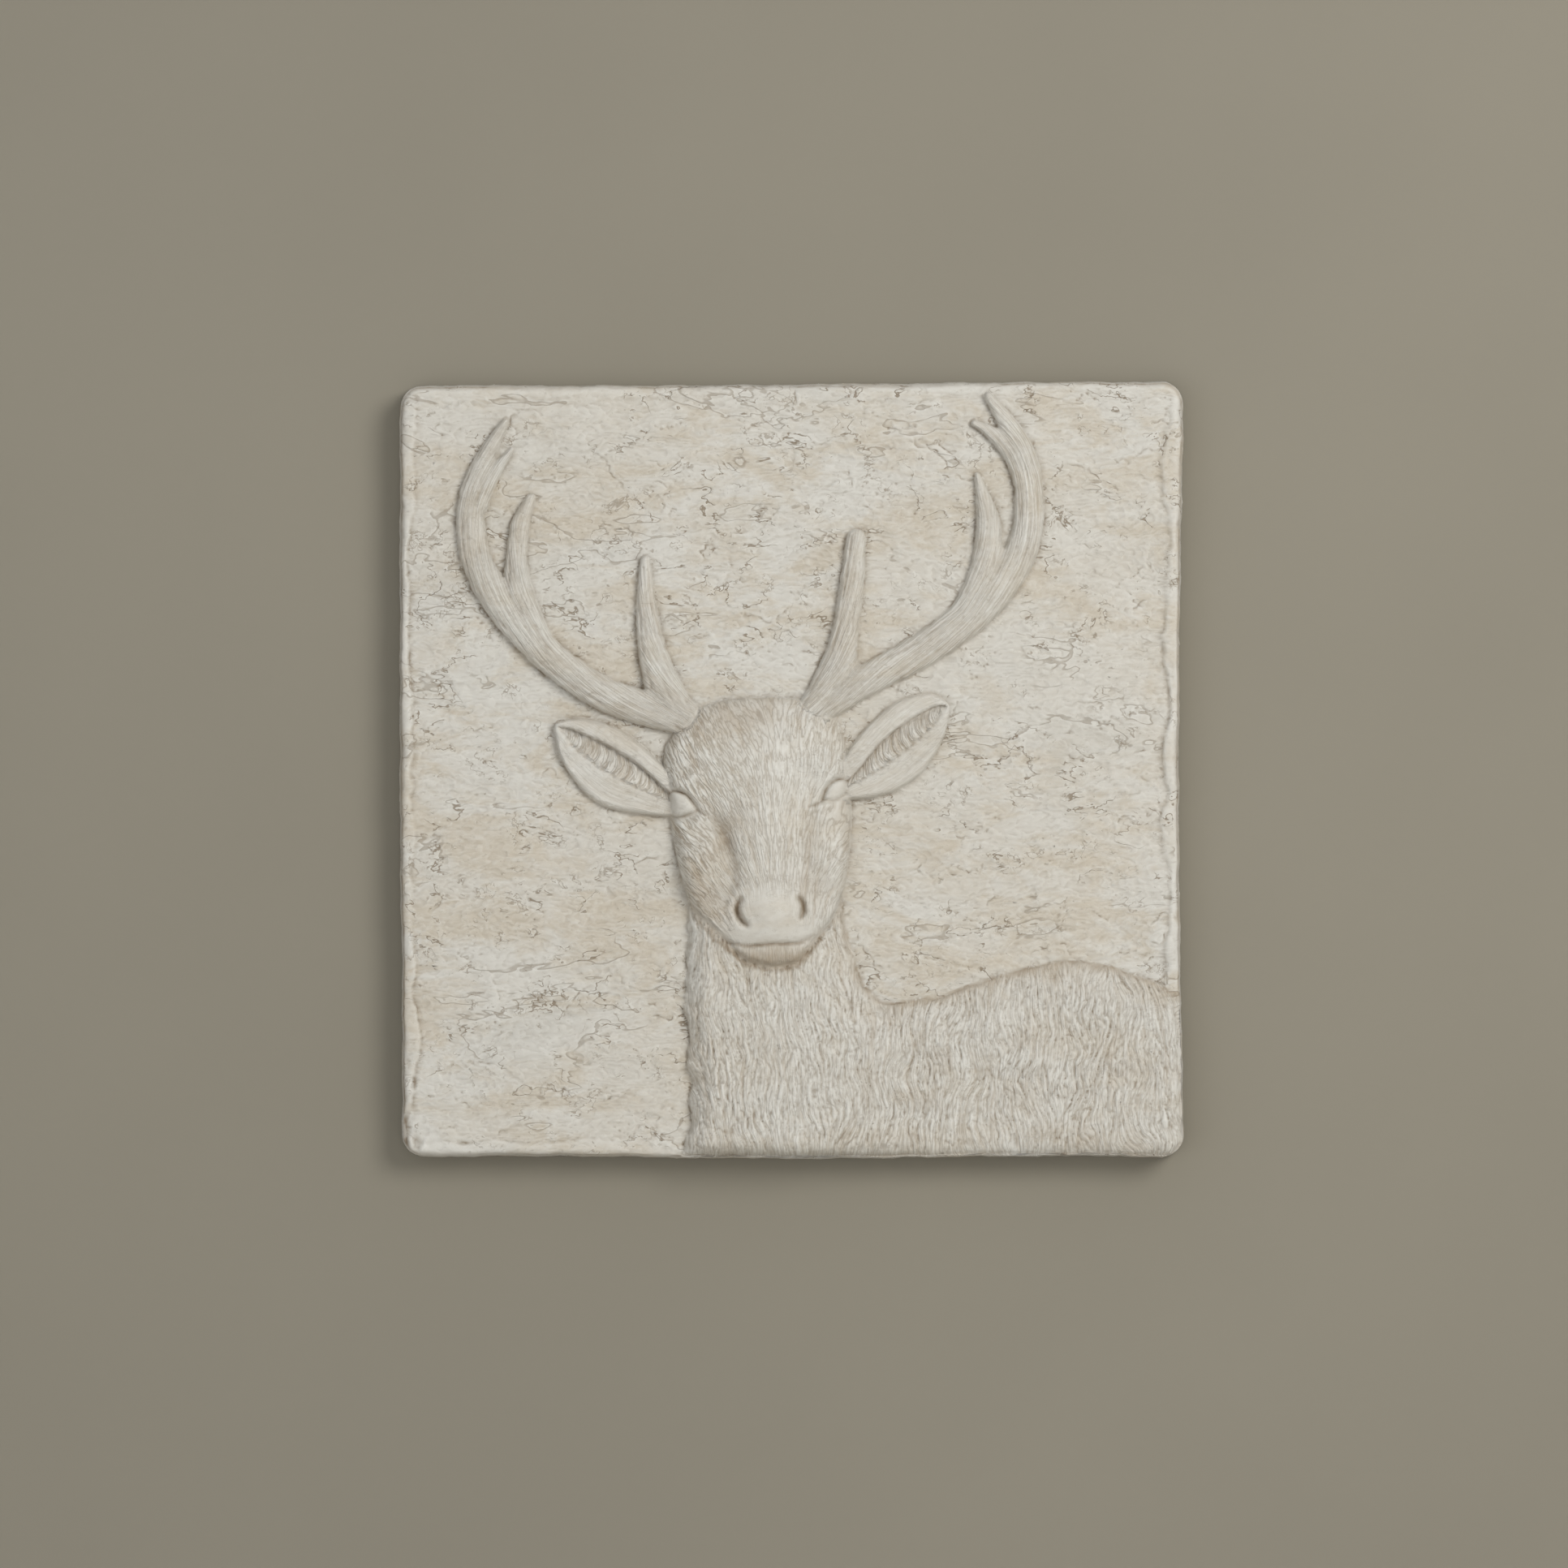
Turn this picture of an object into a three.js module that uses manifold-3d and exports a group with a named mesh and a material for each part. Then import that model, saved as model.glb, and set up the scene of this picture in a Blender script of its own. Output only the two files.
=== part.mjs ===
// A cast wall plaque: the head, neck and back of a stag in low relief on a nearly square plaster tile.
// Lengths are in millimetres. X runs to the right across the front, Z runs up, and the front faces -Y.
// The origin is the middle of the flat back, where the plaque bears on the wall.

import * as THREE from "three";
import Module from "manifold-3d";
import { mergeVertices } from "three/addons/utils/BufferGeometryUtils.js";

// Tile
const WIDTH = 300;
const HEIGHT = 297;
const GROUND_THICKNESS = 15;
const CORNER_RADIUS = 9;
const SIDE_DRAFT = 1.2;
const BACK_EDGE_ROUNDING = 1.2;
const FRONT_EDGE_ROUNDING = 3;

// Raised margin that runs round the front of the tile
const RIM_RISE = 1.1;
const RIM_WIDTH = 5;
const RIM_SLOPE = 2.6;
// The slope's bend, as shares of its width and of the rim's rise
const RIM_BEND_OUT = 0.6;
const RIM_BEND_RISE = 0.35;

// The hand-made mould's edges wander: how far each side stands in at its named place
const RIGHT_WAIST = 1.7;
const LEFT_FOOT_INSET = 0.9;
const TOP_LEFT_DROP = 1.4;
const BOTTOM_WAVE = 0.5;
// Where along a side each of these begins and is full, as shares of the side
const WAIST_FROM = 0.05;
const WAIST_TO = 0.95;
const FOOT_FROM = 0.45;
const FOOT_FULL = 0.2;
const DROP_FROM = 0.9;
const DROP_FULL = 0.3;
const BOTTOM_WAVES = 1.5;

// Socket in the back for a wall hook
const SOCKET_WIDTH = 20;
const SOCKET_HEIGHT = 14;
const SOCKET_DEPTH = 9;
const SOCKET_BELOW_TOP = 34;

// Heights of the relief over the ground
const FACE_EDGE_RISE = 8.4;
const CRANIUM_RISE = 10.4;
const FOREHEAD_RISE = 12.4;
const BRIDGE_RISE = 13.8;
const MUZZLE_RISE = 15;
const NOSE_RISE = 16.6;
const UPPER_LIP_RISE = 13.8;
const CHIN_RISE = 12;
const CHEEK_RISE = 10.4;
const JAW_RISE = 10.2;
const EYE_RISE = 1.7;
const LID_RISE = 0.7;
const NECK_RISE = 7;
const BREAST_RISE = 2.4;
const BACK_RISE = 3;
const LOCK_RISE = 1;
const ANTLER_RISE = 6.2;
const ANTLER_FULL_HALF_WIDTH = 2.2;
// A thin tine's rise, as a share of a full beam's
const THIN_ANTLER_SHARE = 0.45;
// How round an antler's section is: 1 makes half an ellipse, and less fills its shoulders out
const ANTLER_ROUNDNESS = 0.8;
const EAR_RIM_RISE = 4.6;
const EAR_LOBE_RISE = 3.6;
const EAR_HOLLOW_RISE = 1.7;
// How much higher the hollow's floor is at its lower edge than at its upper one
const HOLLOW_FLOOR_SLANT = 1.4;

// Depths of what is cut into the face
const NOSTRIL_DEPTH = 1.8;
const MOUTH_DEPTH = 1.3;
// Of the cheek folds, left and right
const CHEEK_FOLD_DEPTHS = [1.6, 0.5];

// Half widths of the fine marks on the face, in the drawing's hundredths
const LID_HALF_WIDTH = 0.35;
const NOSTRIL_HALF_WIDTH = 0.42;
const MOUTH_HALF_WIDTH = 0.4;

// The relief runs out at the tile's sides: how far in it ends, and over what width it falls
const RELIEF_INSET = 2.2;
const RELIEF_EDGE_WIDTH = 6;

// How far the hidden underside of each relief form is sunk into the tile
const SINK = 4;
// How far a form's visible edge starts below the ground, so that it meets it cleanly
const EDGE_SINK = 0.4;

const PLASTER = { color: 0xc5c0b3, roughness: 0.88, metalness: 0 };

// The stag is drawn in hundredths of the tile's width and height, counted from its lower left corner.
// Antlers: each stage of the middle line is [across, up, half width], from the root to the tip.
const ANTLERS = [
  [
    [36.2, 56.6, 2.2], [27.1, 59.3, 2.2], [19.7, 64.1, 2.1], [13.2, 71, 2.1], [9.9, 77.6, 2],
    [9.4, 84.5, 1.7], [11.3, 90.1, 1.2], [13.8, 94.4, 0.6],
  ],
  [[36.4, 56.4, 2.1], [33.9, 60.4, 2.3], [32.3, 65.5, 1.8], [31.6, 71.3, 1.3], [31.5, 76.6, 0.8]],
  [[18.4, 65.5, 1.7], [15.7, 72.1, 1.9], [15.2, 76.9, 1.4], [15.7, 81.3, 1.3], [17, 84.7, 0.7]],
  [[10.3, 84.2, 1.5], [12.1, 87.6, 1], [14.6, 90.9, 0.4]],
  [
    [52.9, 57.5, 2.1], [60.4, 61.9, 2.1], [67.4, 65.8, 2.3], [74, 71, 2.4], [78.7, 77.1, 2.1],
    [80.1, 83.4, 1.9], [79, 91, 1.7], [74.9, 97.8, 0.6],
  ],
  [[52.9, 57.5, 2.1], [55.6, 62.3, 2.4], [56.8, 67.6, 1.7], [57.5, 72.9, 1.6], [58.2, 79.5, 1.3]],
  [[72.5, 70.2, 2.1], [74.5, 76, 1.9], [74.9, 81.5, 1.6], [73.5, 87.7, 0.4]],
  [[79.8, 87.6, 1.6], [77.7, 90.8, 1.3], [74.9, 93.3, 0.8], [73.1, 94.3, 0.5]],
];

// Face: four sides of its outline, all running up or to the right.
const FACE_LEFT = [[44.2, 24.9], [38.3, 30.3], [35.9, 36.5], [34.3, 44.9], [33.9, 52.8], [37.6, 57.9]];
const FACE_RIGHT = [[51, 24.7], [55.3, 30.7], [57.2, 37.6], [57.6, 47], [56.9, 53.4], [55.2, 58.2]];
const FACE_TOP = [[37.6, 57.9], [42.7, 59.1], [49.7, 59.3], [55.2, 58.2]];
const FACE_BOTTOM = [[44.2, 24.9], [47.6, 24.2], [51, 24.7]];

// Masses that swell out of the face. The lean is in degrees, and a higher power makes a more pointed form.
const FACE_MASSES = [
  { across: 45.4, up: 49.8, halfWidth: 12.6, halfHeight: 11, lean: 0, rise: CRANIUM_RISE, power: 0.5 },
  { across: 45.8, up: 48.2, halfWidth: 10.5, halfHeight: 11, lean: 2, rise: FOREHEAD_RISE, power: 0.8 },
  { across: 46.9, up: 41, halfWidth: 9.2, halfHeight: 16, lean: 3, rise: BRIDGE_RISE, power: 0.9 },
  { across: 47.5, up: 33, halfWidth: 9, halfHeight: 9.5, lean: 4, rise: MUZZLE_RISE, power: 0.75 },
  { across: 47.6, up: 32.2, halfWidth: 7.2, halfHeight: 6.4, lean: 0, rise: NOSE_RISE, power: 0.9 },
  { across: 47.1, up: 29.7, halfWidth: 9.2, halfHeight: 3.6, lean: 0, rise: UPPER_LIP_RISE, power: 0.6 },
  { across: 47.2, up: 26.6, halfWidth: 9, halfHeight: 3.7, lean: 0, rise: CHIN_RISE, power: 0.4 },
  { across: 39.2, up: 38.4, halfWidth: 5.4, halfHeight: 9.2, lean: 8, rise: CHEEK_RISE, power: 0.7 },
  { across: 54.2, up: 39.4, halfWidth: 4.6, halfHeight: 9.6, lean: -4, rise: CHEEK_RISE, power: 0.6 },
  { across: 41, up: 32.2, halfWidth: 4.6, halfHeight: 5.2, lean: 30, rise: JAW_RISE, power: 0.7 },
  { across: 53.8, up: 31.6, halfWidth: 3.4, halfHeight: 4.8, lean: -25, rise: JAW_RISE, power: 0.7 },
];
const MASS_BLEND = 0.9;
// Widths over which the face swells in from its outline, and over which its rim rounds up, in hundredths
const FACE_EDGE_WIDTH = 4.2;
const FACE_ROOT_WIDTH = 1.6;
// Towards the crown the edge is gentler: its width there, and the heights between which it widens
const CROWN_EDGE_WIDTH = 9;
const CROWN_FROM = 48;
const CROWN_FULL = 58;
// Share of a cheek fold's length that is left shallow at each end
const FOLD_FADE = 0.05;
// Half width of a cheek fold, in hundredths
const FOLD_HALF_WIDTH = 0.85;

const CHEEK_FOLDS = [
  [[38.6, 45.4], [41.1, 42.6], [42.2, 39.8], [42.8, 36.8], [42.4, 33.6]],
  [[53.1, 45.3], [51.7, 40.7], [52, 35.5]],
];
const EYES = [
  { across: 36, up: 45.6, halfWidth: 2.4, halfHeight: 1.8, lean: 16 },
  { across: 55.7, up: 47.2, halfWidth: 2.4, halfHeight: 1.7, lean: -22 },
];
const LIDS = [
  [[34.1, 46.5], [35.1, 47.4], [36.9, 46.8], [39.1, 44.2]],
  [[52.2, 45.3], [54, 46.8], [55.3, 48.7], [57.3, 48.6]],
];
const NOSTRILS = [
  [[43.6, 33.5], [43.1, 32.2], [44.2, 30.3]],
  [[51, 33.7], [51.6, 32.3], [51.1, 31]],
];
const MOUTH = [[41.4, 28.1], [44.4, 27.6], [49.4, 27.8], [52.6, 28.8]];

// Neck and back: the left edge runs up, and the upper edge runs right, under the jaw and down to the back.
const NECK_LEFT = [[36.2, -1], [37.4, 10.7], [36.3, 19.5], [37, 33.9]];
const BACK_TOP = [
  [37, 33.9], [47, 36], [55.2, 35.6], [56.7, 31], [58.1, 25.2], [61.2, 20.5], [67.2, 20.9], [77.7, 24.1],
  [88.1, 25.4], [101, 20.6],
];
const BODY_BOTTOM = -1;

// The neck's rise falls off towards the back between these places, in hundredths
const NECK_FULL_ACROSS = 47;
const NECK_END_ACROSS = 68;
const NECK_SHARE = 0.62;
const BREAST = { across: 47, up: 14, halfWidth: 16, halfHeight: 14 };

// The neck's edge is steep and the back's is gentle: their widths, and where one turns into the other
const STEEP_EDGE_WIDTH = 3.2;
// Share of the steep edge that rounds up at once, while the rest of it rises evenly
const STEEP_EDGE_ROUND = 0.6;
const GENTLE_EDGE_STEP_WIDTH = 0.9;
const GENTLE_EDGE_WIDTH = 6;
const GENTLE_EDGE_STEP = 0.35;
const STEEP_EDGE_ACROSS = 44;
const GENTLE_EDGE_ACROSS = 62;

// Ears: the upper and lower edges run from the root to the tip.
const EARS = [
  {
    upper: [[36.2, 47.6], [34.1, 50.2], [28.6, 55], [23.4, 56.6], [20, 55.9]],
    lower: [[36.4, 43.8], [31.8, 44.1], [25.5, 45.5], [21.3, 50.2], [19.8, 55.2]],
    tipAtLeft: true,
    hollowFrom: 0.25,
    hollowTo: 0.56,
  },
  {
    upper: [[55, 48.6], [57.9, 53.7], [62.5, 58.3], [67.2, 59.9], [70, 58.4]],
    lower: [[55, 46], [61.5, 46.6], [66.2, 49.2], [69.1, 53.5], [70.2, 57.7]],
    tipAtLeft: false,
    hollowFrom: 0.3,
    hollowTo: 0.6,
  },
];

// Parts of an ear, as shares of its width from the upper edge
const EAR_EDGE = 0.12;
const EAR_BODY_FROM = 0.3;
const EAR_BODY_TO = 0.8;
const HOLLOW_UPPER_SLOPE = 0.1;
const HOLLOW_LOWER_SLOPE = 0.15;
// And as shares of its length from the root
const EAR_ROOT = 0.05;
const EAR_TIP = 0.08;
const HOLLOW_BEGINS = [0.04, 0.14];
const HOLLOW_ENDS = [0.86, 0.98];
// Its upper edge runs down towards the root, and its lower edge up towards the tip: by how much, and where
const HOLLOW_ROOT_SHIFT = 0.2;
const HOLLOW_ROOT_PART = [0.4, 0.02];
const HOLLOW_TIP_SHIFT = 0.16;
const HOLLOW_TIP_PART = [0.7, 1];

// Locks of the coat, as their width and length on the neck and back, in hundredths
const LOCK_WIDTH = 3.6;
const LOCK_LENGTH = 8;
// Their sideways sway, in lock widths, and its turns for each hundredth up and across, in radians
const LOCK_SWAY = 0.35;
const SWAY_TURN_UP = 0.55;
const SWAY_TURN_ACROSS = 0.3;
// Share of a row's length after which its locks cross over to the next row's places
const LOCK_CROSSING = 0.7;

// How finely each form is divided
const SIDE_STEPS = 10;
const CORNER_STEPS = 5;
const ROUNDING_STEPS = 3;
const FACE_COLUMNS = 28;
const FACE_ROWS = 34;
const BODY_COLUMNS = 58;
const BODY_ROWS = 18;
const EAR_STEPS_ALONG = 12;
const EAR_STEPS_ACROSS = 11;
const ANTLER_STEP = 4.6;
const SECTION_STEPS = 7;
const MARK_STEPS = 8;
const OUTLINE_STEPS = 24;
const SHORT_OUTLINE_STEPS = 10;
const BACK_OUTLINE_STEPS = 48;
const EYE_DETAIL = 2;
const TIP_ANGLES = [0.5, 1, 1.35];
// Share of the grid lines' spacing that stays even where they crowd towards a patch's ends
const EVEN_SHARE = 0.65;
// Columns of the body's patch: samples of its upper edge, and how much a steep stretch counts
const COLUMN_SAMPLES = 400;
const STEEP_STRETCH = 0.3;
// How quickly the neck's bowed left edge stops bending the columns beside it
const NECK_BOW_FADE = 8;
// The ends of a lid, nostril or mouth, as a share of its full width
const MARK_END = 0.35;
const MARK_FADE = 0.1;
const MERGE_DISTANCE = 1e-4;

// Small functions for smooth shapes

function clamp01(value) {
  return Math.min(Math.max(value, 0), 1);
}

// Rises smoothly from 0 at `start` to 1 at `end`.
function ramp(value, start, end) {
  const t = clamp01((value - start) / (end - start));
  return t * t * (3 - 2 * t);
}

// Quarter of a circle: steep at 0 and level at 1.
function dome(value) {
  const t = clamp01(value);
  return Math.sqrt(1 - (1 - t) * (1 - t));
}

function curveOf(points) {
  return new THREE.SplineCurve(points.map(([across, up]) => new THREE.Vector2(across, up)));
}

// Distance from a point to a line of points, and how far along the line the nearest place is.
function nearestOn(path, across, up) {
  let distance = Infinity;
  let share = 0;
  for (let i = 1; i < path.length; i += 1) {
    const from = path[i - 1];
    const to = path[i];
    const dx = to.x - from.x;
    const dz = to.y - from.y;
    const t = clamp01(((across - from.x) * dx + (up - from.y) * dz) / (dx * dx + dz * dz));
    const gap = Math.hypot(across - from.x - t * dx, up - from.y - t * dz);
    if (gap < distance) {
      distance = gap;
      share = (i - 1 + t) / (path.length - 1);
    }
  }
  return { distance, share };
}

// Place in the tile's millimetres of a point of the drawing at a height over the ground.
function onTile(across, up, rise) {
  return [(across / 100 - 0.5) * WIDTH, -(GROUND_THICKNESS + rise), (up / 100 - 0.5) * HEIGHT];
}

// Solids

const wasm = await Module();
wasm.setup();

function solidOf(positions, triangles) {
  const mesh = new wasm.Mesh({
    numProp: 3,
    vertProperties: new Float32Array(positions),
    triVerts: new Uint32Array(triangles),
  });
  return new wasm.Manifold(mesh);
}

// Closed solid over a grid: point(u, v) gives the place on the front, and the back is flat inside the tile.
function reliefPatch(columns, rows, point) {
  const positions = [];
  const triangles = [];
  const stride = columns + 1;
  const layer = stride * (rows + 1);
  for (const sunk of [false, true]) {
    for (let row = 0; row <= rows; row += 1) {
      for (let column = 0; column <= columns; column += 1) {
        const [across, up, rise] = point(column / columns, row / rows);
        positions.push(...onTile(across, up, sunk ? -SINK : rise));
      }
    }
  }
  for (let row = 0; row < rows; row += 1) {
    for (let column = 0; column < columns; column += 1) {
      const corner = row * stride + column;
      const front = [corner, corner + 1, corner + stride + 1, corner + stride];
      const back = front.map((index) => index + layer);
      triangles.push(front[0], front[1], front[2], front[0], front[2], front[3]);
      triangles.push(back[0], back[2], back[1], back[0], back[3], back[2]);
    }
  }
  const border = [];
  for (let column = 0; column < columns; column += 1) border.push(column);
  for (let row = 0; row < rows; row += 1) border.push(row * stride + columns);
  for (let column = columns; column > 0; column -= 1) border.push(rows * stride + column);
  for (let row = rows; row > 0; row -= 1) border.push(row * stride);
  border.forEach((from, index) => {
    const to = border[(index + 1) % border.length];
    triangles.push(from, from + layer, to + layer, from, to + layer, to);
  });
  return solidOf(positions, triangles);
}

// Closed solid through rings of equal length, each a list of [x, y, z], with flat ends.
function loftRings(rings) {
  const count = rings[0].length;
  const triangles = [];
  for (let ring = 1; ring < rings.length; ring += 1) {
    for (let i = 0; i < count; i += 1) {
      const a = (ring - 1) * count + i;
      const b = (ring - 1) * count + ((i + 1) % count);
      triangles.push(a, b, b + count, a, b + count, a + count);
    }
  }
  return { positions: rings.flat(2), triangles, count };
}

// Sweeps a section along stations of a line. section(station) lists [side, lift] pairs: the side is in
// half widths, to the left of the line, and the lift is a height over the station's base.
function sweep(stations, section) {
  const rings = stations.map((station) =>
    section(station).map(([side, lift]) => {
      const across = station.across - station.headingUp * side * station.halfWidth;
      const up = station.up + station.headingAcross * side * station.halfWidth;
      return onTile(across, up, station.base + lift);
    })
  );
  const { positions, triangles, count } = loftRings(rings);
  const last = (rings.length - 1) * count;
  for (let i = 1; i < count - 1; i += 1) {
    triangles.push(0, i + 1, i);
    triangles.push(last, last + i, last + i + 1);
  }
  return solidOf(positions, triangles);
}

// Stations at even steps along a drawn line, with the sizes that shape(share, across, up) gives.
function stationsAlong(points, steps, shape) {
  const curve = curveOf(points);
  const stations = [];
  for (let i = 0; i <= steps; i += 1) {
    const place = curve.getPoint(i / steps);
    const heading = curve.getTangent(i / steps);
    stations.push({
      across: place.x,
      up: place.y,
      headingAcross: heading.x,
      headingUp: heading.y,
      ...shape(i / steps, place.x, place.y),
    });
  }
  return stations;
}

// Tile

function wanderAcross(share, up) {
  const right = -RIGHT_WAIST * Math.sin(Math.PI * clamp01((up - WAIST_FROM) / (WAIST_TO - WAIST_FROM)));
  const left = LEFT_FOOT_INSET * ramp(up, FOOT_FROM, FOOT_FULL);
  return share * right + (1 - share) * left;
}

function wanderUp(share, across) {
  const top = -TOP_LEFT_DROP * ramp(across, DROP_FROM, DROP_FULL);
  const bottom = BOTTOM_WAVE * Math.sin(2 * Math.PI * BOTTOM_WAVES * across);
  return share * top + (1 - share) * bottom;
}

// Outline of the tile at an inset, as one ring of [x, y, z] that runs round it.
function tileRing(inset, y) {
  const radius = Math.max(CORNER_RADIUS - inset, 1);
  const halfWidth = WIDTH / 2 - inset - radius;
  const halfHeight = HEIGHT / 2 - inset - radius;
  const corners = [[1, -1], [1, 1], [-1, 1], [-1, -1]];
  const roundCorner = (signX, signZ, angle) => [
    signX * halfWidth + radius * Math.cos(angle),
    signZ * halfHeight + radius * Math.sin(angle),
  ];
  const flat = [];
  corners.forEach(([signX, signZ], index) => {
    for (let step = 0; step <= CORNER_STEPS; step += 1) {
      const angle = ((index - 1 + step / CORNER_STEPS) * Math.PI) / 2;
      flat.push(roundCorner(signX, signZ, angle));
    }
    const [nextX, nextZ] = corners[(index + 1) % corners.length];
    const from = flat[flat.length - 1];
    const to = roundCorner(nextX, nextZ, (index * Math.PI) / 2);
    for (let step = 1; step < SIDE_STEPS; step += 1) {
      const t = step / SIDE_STEPS;
      flat.push([from[0] + t * (to[0] - from[0]), from[1] + t * (to[1] - from[1])]);
    }
  });
  return flat.map(([x, z]) => {
    const across = x / WIDTH + 0.5;
    const up = z / HEIGHT + 0.5;
    return [x + wanderAcross(across, up), y, z + wanderUp(up, across)];
  });
}

function triangulate(ring) {
  return THREE.ShapeUtils.triangulateShape(ring.map(([x, , z]) => new THREE.Vector2(x, z)), []);
}

// Solid through rings that run round the tile, each an [inset, depth] from the back.
function tileLoft(profile) {
  const rings = profile.map(([inset, depth]) => tileRing(inset, -depth));
  const { positions, triangles, count } = loftRings(rings);
  const last = (rings.length - 1) * count;
  for (const [a, b, c] of triangulate(rings[0])) triangles.push(a, c, b);
  for (const ends of triangulate(rings[rings.length - 1])) triangles.push(...ends.map((end) => last + end));
  return solidOf(positions, triangles);
}

function tile() {
  const crest = GROUND_THICKNESS + RIM_RISE;
  const rounding = Array.from({ length: ROUNDING_STEPS + 1 }, (_, step) => {
    const angle = (step / ROUNDING_STEPS) * (Math.PI / 2);
    const inset = SIDE_DRAFT + FRONT_EDGE_ROUNDING * (1 - Math.cos(angle));
    return [inset, crest - FRONT_EDGE_ROUNDING * (1 - Math.sin(angle))];
  });
  const rimInside = SIDE_DRAFT + RIM_WIDTH;
  return tileLoft([
    [BACK_EDGE_ROUNDING, 0],
    [0, BACK_EDGE_ROUNDING],
    ...rounding,
    [rimInside, crest],
    [rimInside + RIM_SLOPE * RIM_BEND_OUT, GROUND_THICKNESS + RIM_RISE * RIM_BEND_RISE],
    [rimInside + RIM_SLOPE, GROUND_THICKNESS],
  ]);
}

// Space in front of the tile that the relief may fill, a little inside its outline.
function reliefSpace() {
  return tileLoft([
    [RELIEF_INSET, SINK],
    [RELIEF_INSET, GROUND_THICKNESS + 2 * NOSE_RISE],
  ]);
}

// How far a place of the drawing lies in from the tile's outline, in millimetres.
function inFromTile(across, up) {
  const x = (across / 100) * WIDTH;
  const z = (up / 100) * HEIGHT;
  const fromLeft = x - wanderAcross(0, up / 100);
  const fromRight = WIDTH + wanderAcross(1, up / 100) - x;
  const fromBottom = z - wanderUp(0, across / 100);
  const fromTop = HEIGHT + wanderUp(1, across / 100) - z;
  const sideways = CORNER_RADIUS - Math.min(fromLeft, fromRight);
  const upright = CORNER_RADIUS - Math.min(fromBottom, fromTop);
  if (sideways > 0 && upright > 0) return CORNER_RADIUS - Math.hypot(sideways, upright);
  return CORNER_RADIUS - Math.max(sideways, upright);
}

// Stag

// Point of a four-sided patch between its drawn edges.
function patchPoint(edges, u, v) {
  const bottom = edges.bottom.getPoint(u);
  const top = edges.top.getPoint(u);
  const left = edges.left.getPoint(v);
  const right = edges.right.getPoint(v);
  const blend = (key) => {
    const straight = (1 - v) * bottom[key] + v * top[key] + (1 - u) * left[key] + u * right[key];
    const ends = (edge) => (1 - u) * edge.getPoint(0)[key] + u * edge.getPoint(1)[key];
    return straight - (1 - v) * ends(edges.bottom) - v * ends(edges.top);
  };
  return [blend("x"), blend("y")];
}

// Places the grid lines closer together near both ends.
function towardsEnds(t) {
  return EVEN_SHARE * t + (1 - EVEN_SHARE) * (0.5 - 0.5 * Math.cos(Math.PI * t));
}

const faceEdges = {
  left: curveOf(FACE_LEFT),
  right: curveOf(FACE_RIGHT),
  top: curveOf(FACE_TOP),
  bottom: curveOf(FACE_BOTTOM),
};
const faceOutline = [
  ...faceEdges.bottom.getPoints(SHORT_OUTLINE_STEPS),
  ...faceEdges.right.getPoints(OUTLINE_STEPS),
  ...faceEdges.top.getPoints(SHORT_OUTLINE_STEPS).reverse(),
  ...faceEdges.left.getPoints(OUTLINE_STEPS).reverse(),
];
const cheekFolds = CHEEK_FOLDS.map((fold) => curveOf(fold).getPoints(SHORT_OUTLINE_STEPS));

function massRise(mass, across, up) {
  const lean = (mass.lean * Math.PI) / 180;
  const dx = across - mass.across;
  const dz = up - mass.up;
  const p = (dx * Math.cos(lean) - dz * Math.sin(lean)) / mass.halfWidth;
  const q = (dx * Math.sin(lean) + dz * Math.cos(lean)) / mass.halfHeight;
  return mass.rise * Math.max(1 - p * p - q * q, 0) ** mass.power;
}

// Height of the face over the ground: a pillow with skull, bridge, muzzle and cheeks blended in.
function faceRise(across, up) {
  const edge = nearestOn(faceOutline, across, up).distance;
  const heights = FACE_MASSES.map((mass) => massRise(mass, across, up));
  const edgeWidth = FACE_EDGE_WIDTH + (CROWN_EDGE_WIDTH - FACE_EDGE_WIDTH) * ramp(up, CROWN_FROM, CROWN_FULL);
  heights.push(FACE_EDGE_RISE * dome(edge / edgeWidth));
  const total = heights.reduce((sum, height) => sum + Math.exp(height / MASS_BLEND), 0);
  let rise = MASS_BLEND * Math.log(total);
  cheekFolds.forEach((fold, i) => {
    const { distance, share } = nearestOn(fold, across, up);
    const fade = Math.sin(Math.PI * (FOLD_FADE + (1 - 2 * FOLD_FADE) * share));
    rise -= CHEEK_FOLD_DEPTHS[i] * Math.exp(-((distance / FOLD_HALF_WIDTH) ** 2)) * fade;
  });
  return rise * dome(edge / FACE_ROOT_WIDTH) - EDGE_SINK;
}

function face() {
  return reliefPatch(FACE_COLUMNS, FACE_ROWS, (u, v) => {
    const [across, up] = patchPoint(faceEdges, towardsEnds(u), towardsEnds(v));
    return [across, up, faceRise(across, up)];
  });
}

// Blank eyeball, as an egg set into the face.
function eye(spec) {
  const ball = new THREE.IcosahedronGeometry(1, EYE_DETAIL);
  ball.deleteAttribute("normal");
  ball.deleteAttribute("uv");
  const merged = mergeVertices(ball, MERGE_DISTANCE);
  const lean = (spec.lean * Math.PI) / 180;
  const base = faceRise(spec.across, spec.up) - EYE_RISE;
  const place = merged.getAttribute("position");
  const positions = [];
  for (let i = 0; i < place.count; i += 1) {
    const p = place.getX(i) * spec.halfWidth;
    const q = place.getZ(i) * spec.halfHeight;
    const across = spec.across + p * Math.cos(lean) + q * Math.sin(lean);
    const up = spec.up - p * Math.sin(lean) + q * Math.cos(lean);
    positions.push(...onTile(across, up, base - place.getY(i) * 2 * EYE_RISE));
  }
  return solidOf(positions, Array.from(merged.index.array));
}

// Round section, as high as the station's rise.
function roundSection(station) {
  return Array.from({ length: SECTION_STEPS }, (_, i) => {
    const angle = (2 * Math.PI * i) / SECTION_STEPS;
    return [Math.cos(angle), Math.sin(angle) * station.rise];
  });
}

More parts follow.
